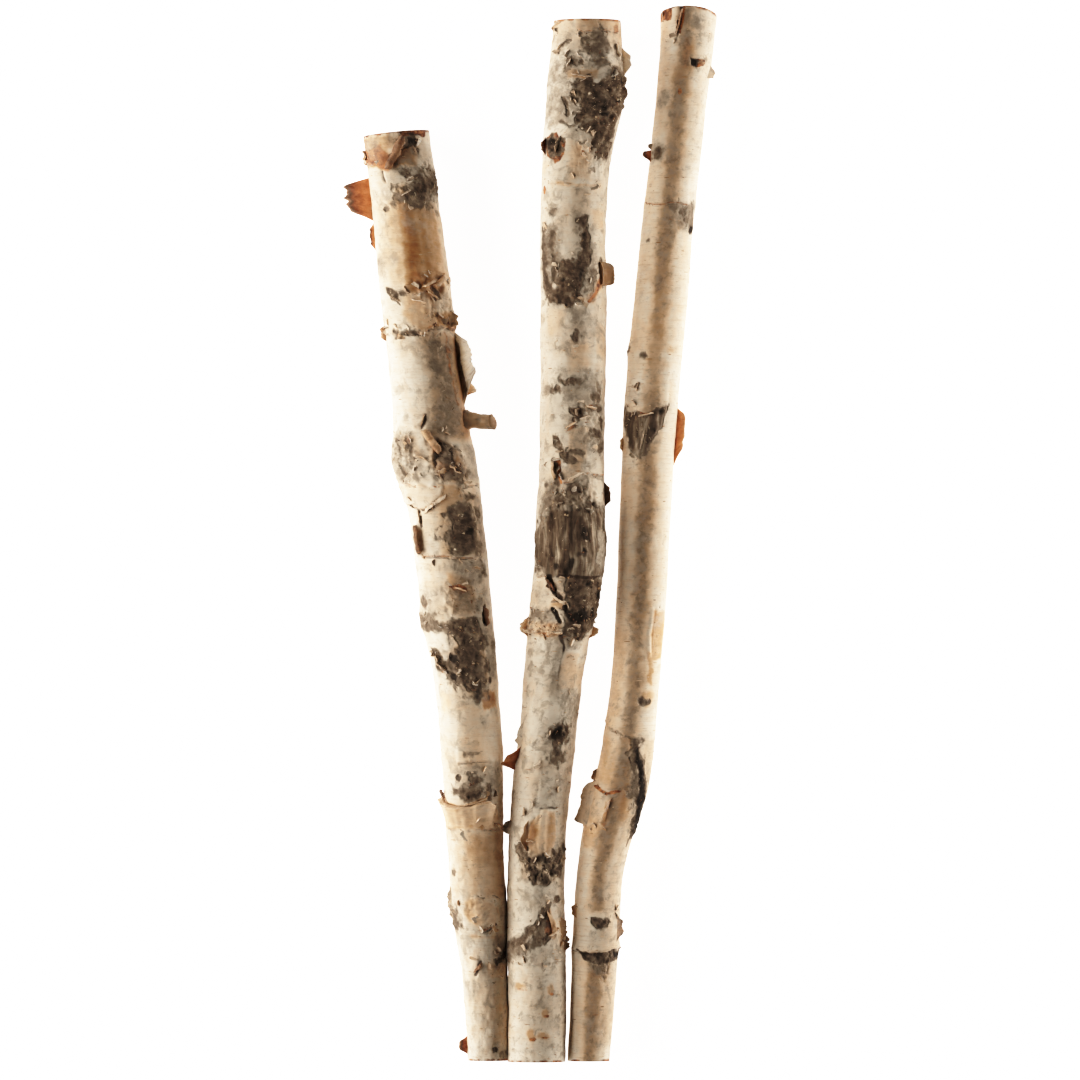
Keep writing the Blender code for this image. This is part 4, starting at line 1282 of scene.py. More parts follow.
# %% [markdown]
# ## The colours of birch bark
#
# Fresh outer birch bark is chalky white, because its cells hold a white powder called betulin.
# Under it lie papery layers of cream, peach and tan, and where the tree was wounded or the bark
# split with age it turns nearly black. The group below builds those in that order: first the
# pale layers, then the fine lines that run round the log, then each mask on top. A group is the
# right tool, because three logs and the outsides of all the peels share it with other amounts.

# %% The bark group


def tone_ramp(tree, value, *stops):
    """A colour ramp through (place, red, green, blue) stops."""
    node = put(tree, "ShaderNodeValToRGB", {"Fac": value})
    marks = node.color_ramp.elements
    while len(marks) < len(stops):
        marks.new(0.5)
    for mark, (place, *colour) in zip(marks, stops):
        mark.position = place
        mark.color = (*colour, 1.0)
    return node.outputs["Color"]


def bark_group():
    group, given, result = new_group(
        "birch_bark_layers",
        [("Warmth", NUMBER, 0.2), ("Lines", NUMBER, 0.5), ("Specks", NUMBER, 0.5), ("Grime", NUMBER, 0.1),
         ("Smudges", NUMBER, 0.5)],
        [("Colour", COLOUR), ("Roughness", NUMBER), ("Height", NUMBER)],
    )
    at = attribute(group, "bark_at", "Vector")
    grain = attribute(group, "grain_at", "Vector")
    ins = given.outputs

    patches = cloud_node(group, grain, 42, 6, 0.62)
    streaks = cloud_node(group, at, 7.0, 4, 0.6, stretch=(3.5, 1, 1))
    mottle = cloud_node(group, grain, 8, 5, 0.66)
    worn = plus(group, attribute(group, "tan"), ins["Warmth"])
    for noise, share in ((patches, 0.95), (streaks, 0.40), (mottle, 0.55)):
        worn = plus(group, worn, swing(group, noise, share))
    colour = tone_ramp(
        group, times(group, worn, 0.8, clamp=True),
        (0.00, 0.89, 0.80, 0.68), (0.20, 0.88, 0.725, 0.57), (0.40, 0.86, 0.64, 0.455),
        (0.62, 0.66, 0.42, 0.24), (0.82, 0.52, 0.28, 0.13), (1.00, 0.38, 0.16, 0.06),
    )

    blush = cloud_node(group, at, 16, 4, 0.6, stretch=(1, 2.2, 1))
    colour = mixed(group, between(group, blush, 0.50, 0.72, 0.0, 0.42), colour, (0.85, 0.60, 0.41, 1))
    ashen = cloud_node(group, grain, 24, 5, 0.62)
    colour = mixed(group, between(group, ashen, 0.52, 0.70, 0.0, 0.45), colour, (0.66, 0.60, 0.52, 1))

    bands = cloud_node(group, at, 2.6, 4, 0.6, stretch=(12, 1, 1))
    band = times(group, between(group, bands, 0.50, 0.70), ins["Lines"])
    colour = mixed(group, times(group, band, 0.55), colour, (0.58, 0.42, 0.27, 1))
    fine = cloud_node(group, at, 1.0, 3, 0.6, stretch=(8, 1, 1))
    pores = times(group, between(group, fine, 0.60, 0.68), ins["Lines"])
    colour = mixed(group, times(group, pores, 0.7), colour, (0.38, 0.25, 0.15, 1))

    smoke = cloud_node(group, grain, 6.5, 6, 0.66, warp=0.3)
    haze = cloud_node(group, grain, 16, 4, 0.6)
    film = plus(group, attribute(group, "film"), ins["Grime"])
    film = plus(group, film, swing(group, haze, 0.8), clamp=True)
    colour = mixed(group, times(group, film, 0.60), colour, (0.42, 0.355, 0.285, 1))
    level = plus(group, smoke, times(group, film, 0.22))
    flecks = between(group, level, 0.58, 0.80)
    blend = between(group, mottle, 0.40, 0.62)
    fleck_tone = mixed(group, blend, (0.20, 0.155, 0.12, 1), (0.40, 0.33, 0.26, 1))
    colour = mixed(group, times(group, flecks, 0.62), colour, fleck_tone)
    smudge = cloud_node(group, grain, 13, 5, 0.62, warp=0.6)
    smudges = times(group, between(group, smudge, 0.51, 0.66, 0.0, 0.9), ins["Smudges"])
    blend = between(group, mottle, 0.42, 0.60)
    smudge_tone = mixed(group, blend, (0.30, 0.24, 0.185, 1), (0.50, 0.42, 0.33, 1))
    smudges = times(group, smudges, between(group, attribute(group, "tan"), 0.15, 0.6, 1.0, 0.25))
    colour = mixed(group, smudges, colour, smudge_tone)

    speck = cloud_node(group, at, 2.4, 3, 0.55, stretch=(2.2, 1, 1))
    specks = times(group, between(group, speck, 0.66, 0.72), ins["Specks"])
    colour = mixed(group, specks, colour, (0.50, 0.26, 0.12, 1))

    rust_noise = cloud_node(group, grain, 4, 3, 0.6)
    blend = between(group, rust_noise, 0.35, 0.65)
    rust_tone = mixed(group, blend, (0.16, 0.058, 0.028, 1), (0.54, 0.235, 0.10, 1))
    colour = mixed(group, between(group, attribute(group, "rust"), 0.12, 0.6), colour, rust_tone)

    crumbs = cloud_node(group, grain, 7.0, 6, 0.62)
    furrows = cloud_node(group, at, 7.0, 3, 0.55, stretch=(1, 6, 1), warp=0.4)
    furrows = plus(group, swing(group, furrows, 2.1), 0.53)
    stripe = attribute(group, "stripe")
    pattern = put(group, "ShaderNodeMix", {0: stripe, 2: crumbs, 3: furrows}, data_type="FLOAT").outputs[0]
    dark = tone_ramp(
        group, pattern,
        (0.30, 0.080, 0.054, 0.037), (0.45, 0.150, 0.107, 0.076), (0.55, 0.235, 0.178, 0.130),
        (0.64, 0.38, 0.305, 0.235), (0.78, 0.64, 0.54, 0.42),
    )
    blotch = cloud_node(group, grain, 14, 4, 0.6)
    dark = mixed(group, between(group, blotch, 0.46, 0.62, 0.0, 0.5), dark, (0.130, 0.090, 0.062, 1))
    dark = mixed(group, attribute(group, "black"), dark, (0.035, 0.024, 0.017, 1))
    scar = attribute(group, "scar")
    edge = plus(group, scar, swing(group, crumbs, -0.9))
    cover = times(group, between(group, edge, 0.20, 0.66), between(group, scar, 0.02, 0.15))
    dark = mixed(group, between(group, scar, 0.45, 0.95, 0.62, 0.0), dark, (0.33, 0.265, 0.205, 1))
    colour = mixed(group, cover, colour, dark)

    # Painted shade: the gap mask darkens cracks, the step under lifted edges and the hollows of folds and
    # lumps.
    gap = between(group, attribute(group, "gap"), 0.25, 0.85, 0.0, 0.85)
    colour = mixed(group, gap, colour, (0.065, 0.040, 0.027, 1))

    height = times(group, bands, 0.30)
    height = plus(group, height, times(group, pores, -0.15))
    height = plus(group, height, times(group, times(group, pattern, cover), 3.0))
    height = plus(group, height, times(group, smoke, 0.35))
    rough = between(group, attribute(group, "tan"), 0.0, 1.0, 0.66, 0.50)
    rough = plus(group, rough, times(group, cover, 0.25), clamp=True)
    fill(group, result, {"Colour": colour, "Height": height, "Roughness": rough})
    return group


BARK_LAYERS = bark_group()
print(BARK_LAYERS.name, "has", len(BARK_LAYERS.nodes), "nodes")

# %% [markdown]
# ## The materials
#
# Each bark material is the group, a bump node and a Principled shader. The height is in
# millimetres, so the bump's distance is one millimetre.

# %% Bark materials


def shader_of(name):
    material = bpy.data.materials.new(name)
    material.use_nodes = True
    return material, material.node_tree, material.node_tree.nodes["Principled BSDF"]


def bark_material(name, **amounts):
    material, tree, shader = shader_of(name)
    layers = put(tree, "ShaderNodeGroup", node_tree=BARK_LAYERS)
    fill(tree, layers, amounts)
    made = layers.outputs
    bump = put(tree, "ShaderNodeBump", {"Height": made["Height"], "Distance": MM, "Strength": 0.9})
    fill(tree, shader, {"Base Color": made["Colour"], "Roughness": made["Roughness"],
                        "Normal": bump.outputs["Normal"], "Specular IOR Level": 0.35})
    return material


bark_looks = {
    log + "_log": bark_material(log + "_birch_bark", Warmth=warmth, Lines=lines, Specks=specks, Grime=grime,
                                Smudges=smudges)
    for log, warmth, lines, specks, grime, smudges in (
        ("left", 0.16, 0.45, 0.4, 0.1, 0.55),
        ("middle", 0.06, 0.35, 0.7, 0.22, 0.8),
        ("right", 0.2, 0.6, 0.3, 0.0, 0.22),
    )
}

# %% The saw cut's material


def cut_wood_material():
    """End grain: rings round the pith, fine cracks, and a darker band where the bark starts."""
    material, tree, shader = shader_of("sawn_end_grain")
    at = put(tree, "ShaderNodeTexCoord").outputs["Object"]
    where = put(tree, "ShaderNodeSeparateXYZ", {"Vector": attribute(tree, "cut_at", "Vector")})
    share, out = where.outputs["X"], where.outputs["Y"]
    wander = times(tree, cloud_node(tree, at, 0.016, 3, 0.5), 7.0)
    wave = sums(tree, "SINE", times(tree, plus(tree, out, wander), 2.5))
    tone = mixed(tree, between(tree, wave, 0.1, 1.0), (0.70, 0.54, 0.37, 1), (0.52, 0.35, 0.21, 1))
    grain = cloud_node(tree, at, 0.0016, 3, 0.6)
    tone = mixed(tree, between(tree, grain, 0.35, 0.65, 0.35, 0.0), tone, (0.42, 0.27, 0.155, 1))
    stain = cloud_node(tree, at, 0.02, 4, 0.6)
    heart = times(tree, between(tree, stain, 0.35, 0.65), between(tree, share, 0.25, 0.75, 0.8, 0.15))
    tone = mixed(tree, heart, tone, (0.36, 0.215, 0.12, 1))
    tone = mixed(tree, between(tree, out, 0.6, 1.5, 0.8, 0.0), tone, (0.16, 0.085, 0.045, 1))
    ragged = plus(tree, share, times(tree, cloud_node(tree, at, 0.004, 3), 0.05))
    tone = mixed(tree, between(tree, ragged, 0.945, 0.955), tone, (0.25, 0.125, 0.062, 1))
    tone = mixed(tree, between(tree, ragged, 0.995, 1.005), tone, (0.70, 0.57, 0.43, 1))
    bump = put(tree, "ShaderNodeBump", {"Height": grain, "Distance": 0.4 * MM, "Strength": 0.8})
    fill(tree, shader, {"Base Color": tone, "Normal": bump.outputs["Normal"], "Roughness": 0.8})
    return material


cut_wood = cut_wood_material()
for name, obj in bark_objects.items():
    obj.data.materials.append(bark_looks[name])
    obj.data.materials.append(cut_wood)
    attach(obj, BODY)
    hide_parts(name)

# %% [markdown]
# ## Sheets that have come loose
#
# Birch bark comes off in papery sheets that curl back, because its inner layers shrink as they
# dry. Each sheet here starts a little below the bark, leaves it at an angle and rolls as it goes.
# A sheet could be a plane with a bend modifier, but dozens of them are quicker and lie closer to
# the log when a few numbers give each one: its root, its width, its first angle and its roll. The
# outer face keeps the pale bark's material, and the inner face and the torn edge get their own.

# %% A class that gathers sheets
SEATED = 0.8  # how far under the bark's surface a sheet starts
ROOT_STEP, REACH_STEP, BEND_STEP = 1.3, 1.1, 12  # a sheet's mesh: mm, mm and degrees to a face
SHREDS, SPREAD = 3, 8.0  # shreds to a place, and how far from it they reach


class Sheets:
    """The loose sheets of one log, gathered into one mesh."""

    def __init__(self, bark):
        self.bark = bark
        self.parts = []
        self.count = 0

    def wave(self, along, size, extra):
        """A cloud along a sheet's root, from -1 to 1."""
        sheet = np.full_like(along, 11.0 * len(self.parts))
        spots = np.stack([along, sheet, np.full_like(along, extra)], axis=-1)
        return clouds(spots, size, self.bark.seed * 7 + extra, 3)

    def curl(self, along, turn, root, width, lift, roll, tone, lean=0.0, taper=0.4, to_head=0.0, tan=0.2,
             film=0.0, ragged=0.22, thick=0.7, pale=0.55, bow=0.0, sag=0.0, lip=0.45):
        """A sheet: root mm long, width mm wide (below 0 to smaller turns), leaving at lift degrees.

        bow makes its free edge hollow, sag its root, and lip is how thick the edge is beside the root.
        """
        bark, side, lean = self.bark, math.copysign(1.0, width), math.radians(lean)
        rows = max(5, int(root / ROOT_STEP))
        steps = max(5, int(abs(width) / REACH_STEP), int(roll / BEND_STEP))
        t = np.linspace(-0.5, 0.5, rows + 1)
        reached = np.linspace(0.0, 1.0, steps + 1)
        row_along = along + math.cos(lean) * root * t + sag * (4 * t * t - 0.4)
        row_along = np.clip(row_along, 0.3, bark.log.length - 0.3)
        row_turn = turn + np.degrees(math.sin(lean) * root * t / float(bark.log.radius(along)))
        start = bark.place(row_along, row_turn, bark.rise_at(row_along, row_turn) - SEATED)
        angle = np.radians(row_turn)
        zero = np.zeros_like(angle)
        out = np.stack([np.cos(angle), zero, np.sin(angle)], axis=-1)
        round_log = np.stack([-np.sin(angle), zero, np.cos(angle)], axis=-1)
        axis = np.array([0.0, 1.0, 0.0])
        leave = (round_log * math.cos(lean) - axis * math.sin(lean)) * side
        stay = axis * math.cos(lean) + round_log * math.sin(lean)

        run = root * t + 40.0
        torn = 1 + ragged * self.wave(run, 8.0, 1) + 0.4 * ragged * self.wave(run, 2.6, 2)
        torn = torn - 0.3 * np.abs(2 * t) ** 9 + bow * ((2 * t) ** 2 - 0.4)
        first = np.radians(lift + 9 * self.wave(run, 11.0, 3))
        rolled = np.radians(roll * (1 + 0.2 * self.wave(run, 9.0, 4)))
        bend = first[:, None] + rolled[:, None] * reached[None, :]
        ahead = leave[:, None] * np.cos(bend)[..., None] + out[:, None] * np.sin(bend)[..., None]
        above = -leave[:, None] * np.sin(bend)[..., None] + out[:, None] * np.cos(bend)[..., None]
        step = (abs(width) * torn / steps)[:, None, None]
        strides = (ahead[:, :-1] + ahead[:, 1:]) / 2 * step
        path = np.concatenate([np.zeros((rows + 1, 1, 3)), np.cumsum(strides, 1)], 1)
        slide = to_head * reached[None, :] - root * t[:, None] * taper * reached[None, :]
        middle = start[:, None] + path + stay[:, None] * slide[..., None]
        sheet = 3.0 * len(self.parts)
        flat = np.stack(np.broadcast_arrays(run[:, None], abs(width) * reached[None, :], sheet), -1)
        ripple = 0.5 * clouds(flat, 5.0, bark.seed + 5, 3) * reached[None, :]
        middle = middle + above * ripple[..., None]
        half = above * (thick * (1 - (1 - lip) * reached) / 2)[None, :, None]
        paling = np.broadcast_to(1 - pale * reached[None, :] ** 3, ripple.shape)
        self.shell(middle + half, middle - half, side > 0, tan, film, tone * paling, flat)

    def fringe(self, places, tone=0.25):
        """Small torn shreds round each place."""
        for along, turn in pairs(places):
            dice = np.random.RandomState(int(along) * 7 + int(turn))
            reach = math.degrees(SPREAD / float(self.bark.log.radius(along)))
            for _ in range(SHREDS):
                shift, swing, side, size, lean, colour, bend = dice.uniform(-1, 1, 7)
                width = math.copysign(4 + 1.5 * size, side)
                self.curl(along + SPREAD * shift, turn + reach * swing, 7 + 3 * size, width, 14 + 9 * bend,
                          55 + 50 * bend, tone + 0.3 * colour, lean=85 * lean, tan=0.35 + 0.4 * colour,
                          film=0.6 - 0.5 * lean, ragged=0.5, pale=0.5)

    def shell(self, outer, inner, forward, tan, film, tone, flat):
        """Closes two grids of points into one sheet, and notes its material and tones."""
        rows, columns = outer.shape[:2]
        top = np.arange(rows * columns).reshape(rows, columns) + self.count
        low = top + rows * columns
        quads = np.stack([top[:-1, :-1], top[1:, :-1], top[1:, 1:], top[:-1, 1:]], -1).reshape(-1, 4)
        under = np.stack([low[:-1, :-1], low[:-1, 1:], low[1:, 1:], low[1:, :-1]], -1).reshape(-1, 4)
        border = np.concatenate([top[:, 0], top[-1, 1:], top[-2::-1, -1], top[0, -2:0:-1]])
        after = np.roll(border, -1)
        rim = np.stack([after, border, border + rows * columns, after + rows * columns], -1)
        faces = np.concatenate([quads, under, rim])
        faces = (faces if forward else faces[:, ::-1]).tolist()
        kinds = np.concatenate([np.zeros(len(quads)), np.ones(len(under) + len(rim))])
        self.parts.append((np.concatenate([outer.reshape(-1, 3), inner.reshape(-1, 3)]), faces, kinds,
                           np.tile(flat.reshape(-1, 3), (2, 1)), tan, film, np.tile(tone.ravel(), 2)))
        self.count += 2 * rows * columns

    def stub(self, along, turn, length, girth, tilt):
        """A cut twig that stands out of the log, tilted towards the head, with its torn bark."""
        base = self.bark.place(along, turn, 0.0)
        angle = math.radians(turn)
        heading = np.array([math.cos(angle), math.tan(math.radians(tilt)), math.sin(angle)])
        heading /= np.linalg.norm(heading)
        across = np.cross(heading, [0.0, 1.0, 0.0])
        across /= np.linalg.norm(across)
        beside = np.cross(heading, across)
        rings, sides = 26, 40
        spin = np.linspace(0, 2 * np.pi, sides, endpoint=False)
        reach = np.linspace(-6.0, length, rings)
        round_twig = 9 * np.cos(spin)[None], 9 * np.sin(spin)[None]
        spots = np.stack(np.broadcast_arrays(reach[:, None], *round_twig), -1)
        swell = 1.15 - 0.15 * (reach + 6) / (length + 6) + 0.35 * np.exp(-((reach / 4.0) ** 2))
        wide = girth / 2 * swell[:, None] + 1.1 * clouds(spots, 7.0, 77, 3)
        ends = reach[:, None] * (1 - 0.10 * np.cos(spin + 0.6)[None] * ramp(reach, 0, length)[:, None])
        points = (base + heading * ends[..., None] + across * (wide * np.cos(spin))[..., None]
                  + beside * (wide * np.sin(spin))[..., None])
        points = points.reshape(-1, 3)
        grid = np.arange(rings * sides).reshape(rings, sides) + self.count
        nxt = np.roll(grid, -1, axis=1)
        walls = np.stack([grid[:-1], nxt[:-1], nxt[1:], grid[1:]], -1).reshape(-1, 4)
        faces = walls.tolist() + [grid[0, ::-1].tolist(), grid[-1].tolist()]
        kinds = np.append(np.zeros(len(walls)), [1, 1])
        self.parts.append((points, faces, kinds, spots.reshape(-1, 3), 0.75, 0.5, 0.62))
        self.count += len(points)

    def mesh(self, name):
        """One mesh of all the sheets, with the attributes that the two materials read."""
        spots = np.concatenate([part[0] for part in self.parts]) * MM
        spots[:, 2] = np.maximum(spots[:, 2], 0.0)
        mesh = bpy.data.meshes.new(name)
        mesh.from_pydata(spots.tolist(), [], [face for part in self.parts for face in part[1]])
        kinds = np.concatenate([part[2] for part in self.parts]).astype(np.int32)
        mesh.polygons.foreach_set("material_index", kinds)
        mesh.shade_smooth()
        for attribute_name, at in (("tan", 4), ("film", 5), ("tone", 6)):
            values = [np.broadcast_to(part[at], len(part[0])) for part in self.parts]
            store(mesh, attribute_name, np.concatenate(values))
        for attribute_name in ("bark_at", "grain_at"):
            store(mesh, attribute_name, np.concatenate([part[3] for part in self.parts]))
        return mesh


# %% The inner bark's material


def inner_bark_material():
    """The inside of a sheet, by its tone: 0 is cream, 0.5 brown, 1 nearly black, and 1.2 to 1.6 rust red.

    A sheet is thin enough for light from behind to come through it, so the material scatters it."""
    material, tree, shader = shader_of("inner_birch_bark")
    at = attribute(tree, "grain_at", "Vector")
    cloud = cloud_node(tree, at, 9, 4, 0.62)
    fine = cloud_node(tree, at, 1.1, 3, 0.6, stretch=(1, 5, 1))
    level = plus(tree, attribute(tree, "tone"), swing(tree, cloud, 0.7))
    tone = tone_ramp(
        tree, times(tree, level, 1 / 1.6),
        (0.00, 0.88, 0.77, 0.66), (0.16, 0.75, 0.57, 0.43), (0.32, 0.52, 0.36, 0.235),
        (0.47, 0.31, 0.185, 0.11), (0.62, 0.11, 0.060, 0.038), (0.74, 0.26, 0.105, 0.052),
        (0.87, 0.52, 0.27, 0.145), (1.0, 0.70, 0.43, 0.26),
    )
    tone = mixed(tree, between(tree, fine, 0.56, 0.68, 0.0, 0.4), tone, (0.20, 0.08, 0.04, 1))
    bump = put(tree, "ShaderNodeBump", {"Height": fine, "Distance": 0.3 * MM, "Strength": 0.8})
    fill(tree, shader, {
        "Base Color": tone, "Normal": bump.outputs["Normal"], "Roughness": 0.6, "Specular IOR Level": 0.3,
        "Subsurface Weight": 0.6, "Subsurface Radius": (1.0, 0.95, 0.9), "Subsurface Scale": 1.6 * MM,
    })
    return material


inner_bark = inner_bark_material()

# %% The left log's loose sheets
sheets = {name: Sheets(bark) for name, bark in barks.items()}


def curl_left(s):
    s.curl(776, 188, 40, -24, 48, 57, 1.45, taper=0.3, ragged=0.15, pale=0.5)
    s.curl(764, 186, 12, -20, 55, 190, 0.2, ragged=0.5, pale=0.3)
    s.curl(742, 178, 28, -6, 40, 40, 1.6)
    s.curl(815, 96, 36, 14, 35, 215, 0.84, lean=-30, taper=0.1, ragged=0.16, pale=0.1)
    s.curl(815, 168, 12, 8, 35, 230, 0.5, lean=20, ragged=0.4, pale=0.2)
    s.curl(810, 176, 9, -8, 50, 190, 0.45, ragged=0.5, pale=0.2)
    s.curl(655, 170, 15, -8, 35, 150, 0.62, lean=-10, pale=0.3)
    s.curl(700, 45, 18, 9, 30, 140, 0.5, lean=-55, tan=0.6)
    s.curl(697, 66, 16, 8, 30, 140, 0.55, lean=-60, tan=0.6)
    s.curl(688, 62, 14, -7, 40, 120, 0.7, lean=50, tan=0.6)
    s.curl(687, 122, 15, 5, 20, 80, 0.6, lean=50)
    s.curl(684, 84, 16, 6, 25, 90, 0.4, lean=70, tan=0.4)
    s.curl(668, 30, 20, -9, 30, 60, 0.45, lean=-20, tan=0.6)
    s.curl(623, 8, 68, 18, 44, 22, 0, taper=0.5, to_head=9, tan=0.6, ragged=0.2)
    s.curl(606, 6, 18, 14, 60, 60, 0.3, taper=0.5, ragged=0.4)
    s.curl(623, 12, 60, 6, 20, 120, 0.5, taper=0.2, tan=0.5)
    s.curl(557, 92, 26, 12, 30, 205, 0.62, lean=30, taper=0.15, ragged=0.16, pale=0.15)
    s.curl(576, 99, 13, 4, 30, 90, 0.95, lean=-25)
    s.curl(544, 108, 16, 6, 30, 120, 0.6, lean=65)
    s.curl(535, 62, 12, 9, 16, 60, 0.6, lean=40, tan=0.6, ragged=0.4)
    s.curl(528, 80, 12, 8, 14, 50, 0.7, lean=-50, tan=0.6, ragged=0.4)
    s.curl(470, 140, 27, 13, 30, 190, 0.97, taper=0.1, lean=4, ragged=0.12, pale=0.25)
    s.curl(490, 132, 15, 4, 30, 120, 1, lean=6)
    s.curl(503, 106, 36, -5, 14, 40, 0.6, lean=-58, taper=0.2)
    s.curl(402, 40, 20, 8, 30, 200, 0.9, lean=6, ragged=0.2, pale=0.3)
    s.curl(361, 128, 20, 7, 25, 130, 0.8, lean=32, ragged=0.5)
    s.curl(368, 142, 14, 5, 25, 130, 0.7, lean=50, ragged=0.5)
    s.curl(425, 80, 12, -5, 30, 90, 0.8, lean=70, tan=0.5)
    s.curl(211, 126, 66, -25, 7, 16, 0.45, lean=90, taper=0.03, tan=0.42, ragged=0.05, bow=0.42, lip=4,
           thick=0.9, pale=0)
    s.curl(214, 34, 14, -8, 35, 150, 0.8, lean=75, tan=0.1, pale=0.3)
    s.curl(235, 126, 60, -4.5, 40, 110, 0.55, lean=90, taper=0.03, tan=0.95, ragged=0.1, sag=8, lip=1.2,
           pale=0.1)
    s.curl(241, 174, 12, 9, 35, 200, 1.05, lean=70, tan=0.8, pale=0.1)
    s.curl(224, 62, 34, 6, 20, 90, 0.35, lean=-52)
    s.curl(142, 158, 38, 7, 22, 10, 0.8, tan=0.5, film=1.7, ragged=0.4)
    s.curl(14, 182, 18, -8, 55, 30, 1.35)
    s.curl(86, 103, 14, 6, 30, 150, 0.9, lean=-42, pale=0.2)
    s.stub(577, 14, 25, 13, -4)
    s.fringe("818,165 806,130 826,60 790,70 775,85 704,60 692,100 680,50 656,120")
    s.fringe("655,70 660,160 566,60 555,130 536,120 534,70 520,50 506,105 500,140")
    s.fringe("453,110 448,60 428,80 405,140 386,110 365,130 352,110 342,70")
    s.fringe("262,80 238,60 212,90 140,150 128,90 122,50 96,60 92,100 82,50")


# %% The middle log's loose sheets


def curl_middle(s):
    s.curl(899, 2, 28, 9, 45, 40, 0.05, taper=0.5, tan=0.4)
    s.curl(908, 30, 16, 6, 25, 60, 0.15, lean=20, tan=0.3)
    s.curl(929, 152, 20, 5, 20, 80, 0.35, lean=-62, tan=0.5)
    s.curl(884, 96, 24, 4, 15, 70, 0.3, lean=82, tan=0.5)
    s.curl(822, 158, 20, -7, 35, 50, 1.1, lean=12, taper=0.6, ragged=0.3)
    s.curl(822, 122, 18, 6, 25, 110, 0.9, lean=-12, ragged=0.4, pale=0.5)
    s.curl(822, 80, 16, 5, 20, 50, 0.5, lean=60)
    s.curl(708, 32, 22, -14, 18, 20, 0.7, taper=0.1, tan=0.95, ragged=0.15)
    s.curl(708, 40, 22, -5, 20, 90, 0.9, taper=0.1, tan=0.9, ragged=0.2)
    s.curl(706, 8, 16, 8, 60, 60, 1.3, taper=0.1, ragged=0.2)
    s.curl(511, 4, 24, 7, 50, 30, 0.95, pale=0.1)
    s.curl(571, 92, 14, 6, 25, 120, 0.65, lean=-62)
    s.curl(589, 58, 13, 6, 25, 110, 0.55, lean=72)
    s.curl(578, 68, 12, 6, 25, 110, 0.3, lean=-72, tan=0.1)
    s.curl(532, 122, 18, 8, 30, 170, 0.5, taper=0.2, lean=8, ragged=0.15, pale=0.3)
    s.curl(524, 80, 22, 6, 15, 60, 0.3, lean=-66)
    s.curl(431, 116, 20, 7, 30, 140, 1.1, lean=38, pale=0.1)
    s.curl(414, 100, 24, -5, 14, 50, 0.5, lean=62, tan=0.3)
    s.curl(392, 174, 22, -8, 35, 60, 0.4, lean=14, ragged=0.4)
    for turn, long, bend in ((158, 20, 150), (136, 16, 110), (116, 22, 160), (98, 14, 120)):
        s.curl(389, turn, long, 7, 20, bend, 0.5, lean=86, ragged=0.5, pale=0.5)
    s.curl(387, 10, 12, 7, 45, 60, 0.45, ragged=0.4)
    s.curl(274, 162, 24, -15, 50, 40, 1.42, lean=-20, taper=0.5, pale=0)
    s.curl(296, 150, 26, 7, 20, 10, 0.1, tan=0.1)
    s.curl(212, 156, 14, 8, 35, 40, 1.3, taper=0.2, ragged=0.3)
    s.curl(206, 108, 30, 7, 20, 50, 0.45, taper=0.4, tan=0.9)
    s.curl(128, 60, 26, 8, 25, 150, 0.6, lean=14, ragged=0.3, pale=0.3)
    s.curl(118, 54, 14, 6, 30, 120, 0.3, lean=-60)
    s.curl(122, 36, 24, -8, 14, 8, 0.35, tan=0.8, ragged=0.4)
    s.curl(106, 26, 14, -7, 30, 40, 1.2, lean=25, tan=0.9, ragged=0.4)
    s.fringe("928,150 926,110 915,130 900,110 890,60 880,100 868,120 855,110")
    s.fringe("838,80 818,70 806,60 788,110 786,60")
    s.fringe("745,150 720,110 700,60 684,80 640,100 588,66")
    s.fringe("556,110 538,130 522,90 508,120 500,60 470,20 436,150")
    s.fringe("428,110 412,110 402,140 393,165 390,130 388,105 384,60 392,8", tone=0.35)
    s.fringe("366,50 335,60 318,30 300,90 268,120 254,60 230,110 196,110 188,60")
    s.fringe("178,100 170,60 146,60 130,100 118,40 104,20 96,120 92,60 112,8")


# %% The right log's loose sheets


def curl_right(s):
    s.curl(930, 108, 22, 5, 25, 120, 0.9, lean=-16, pale=0.2)
    s.curl(562, 4, 54, 10, 55, 25, 1.5, taper=0.35, to_head=5, ragged=0.12, pale=0)
    s.curl(556, 174, 16, -4, 35, 60, 0.35)
    s.curl(234, 146, 42, 16, 13, 8, 0, taper=0.15, tan=0.25, film=0.3, ragged=0.12)
    s.curl(259, 174, 12, 7, 35, 150, 1.15)
    s.curl(229, 102, 26, 6, 20, 60, 0.5, tan=0.8)
    s.curl(815, 172, 14, -8, 45, 40, 1.35, lean=30)
    s.curl(121, 30, 28, -8, 18, 20, 1, tan=1, film=0.7, ragged=0.3)
    s.curl(891, 26, 14, -9, 18, 8, 0.5, lean=-20, film=1.5, tan=0.5)
    s.curl(137, 146, 16, 7, 16, 8, 0.2, tan=0.6)
    s.curl(897, 56, 10, 5, 25, 140, 0.7, lean=84, pale=0.1)
    s.curl(581, 100, 14, 5, 20, 100, 0.6, lean=-75)
    s.fringe("936,150 922,110 590,130 540,120 246,130 216,120 138,40")
    s.fringe("645,165 605,120 815,150")


# %% Make one mesh of sheets for each log
for name, curl_log in (("left_log", curl_left), ("middle_log", curl_middle), ("right_log", curl_right)):
    curl_log(sheets[name])
    piece_name = name.replace("_log", "_curls")
    obj = in_scene(piece_name, sheets[name].mesh(piece_name))
    obj.data.materials.append(bark_looks[name])
    obj.data.materials.append(inner_bark)
    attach(obj, BODY)
    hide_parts(name)
    print(obj.name, len(sheets[name].parts), "sheets,", len(obj.data.polygons), "faces")

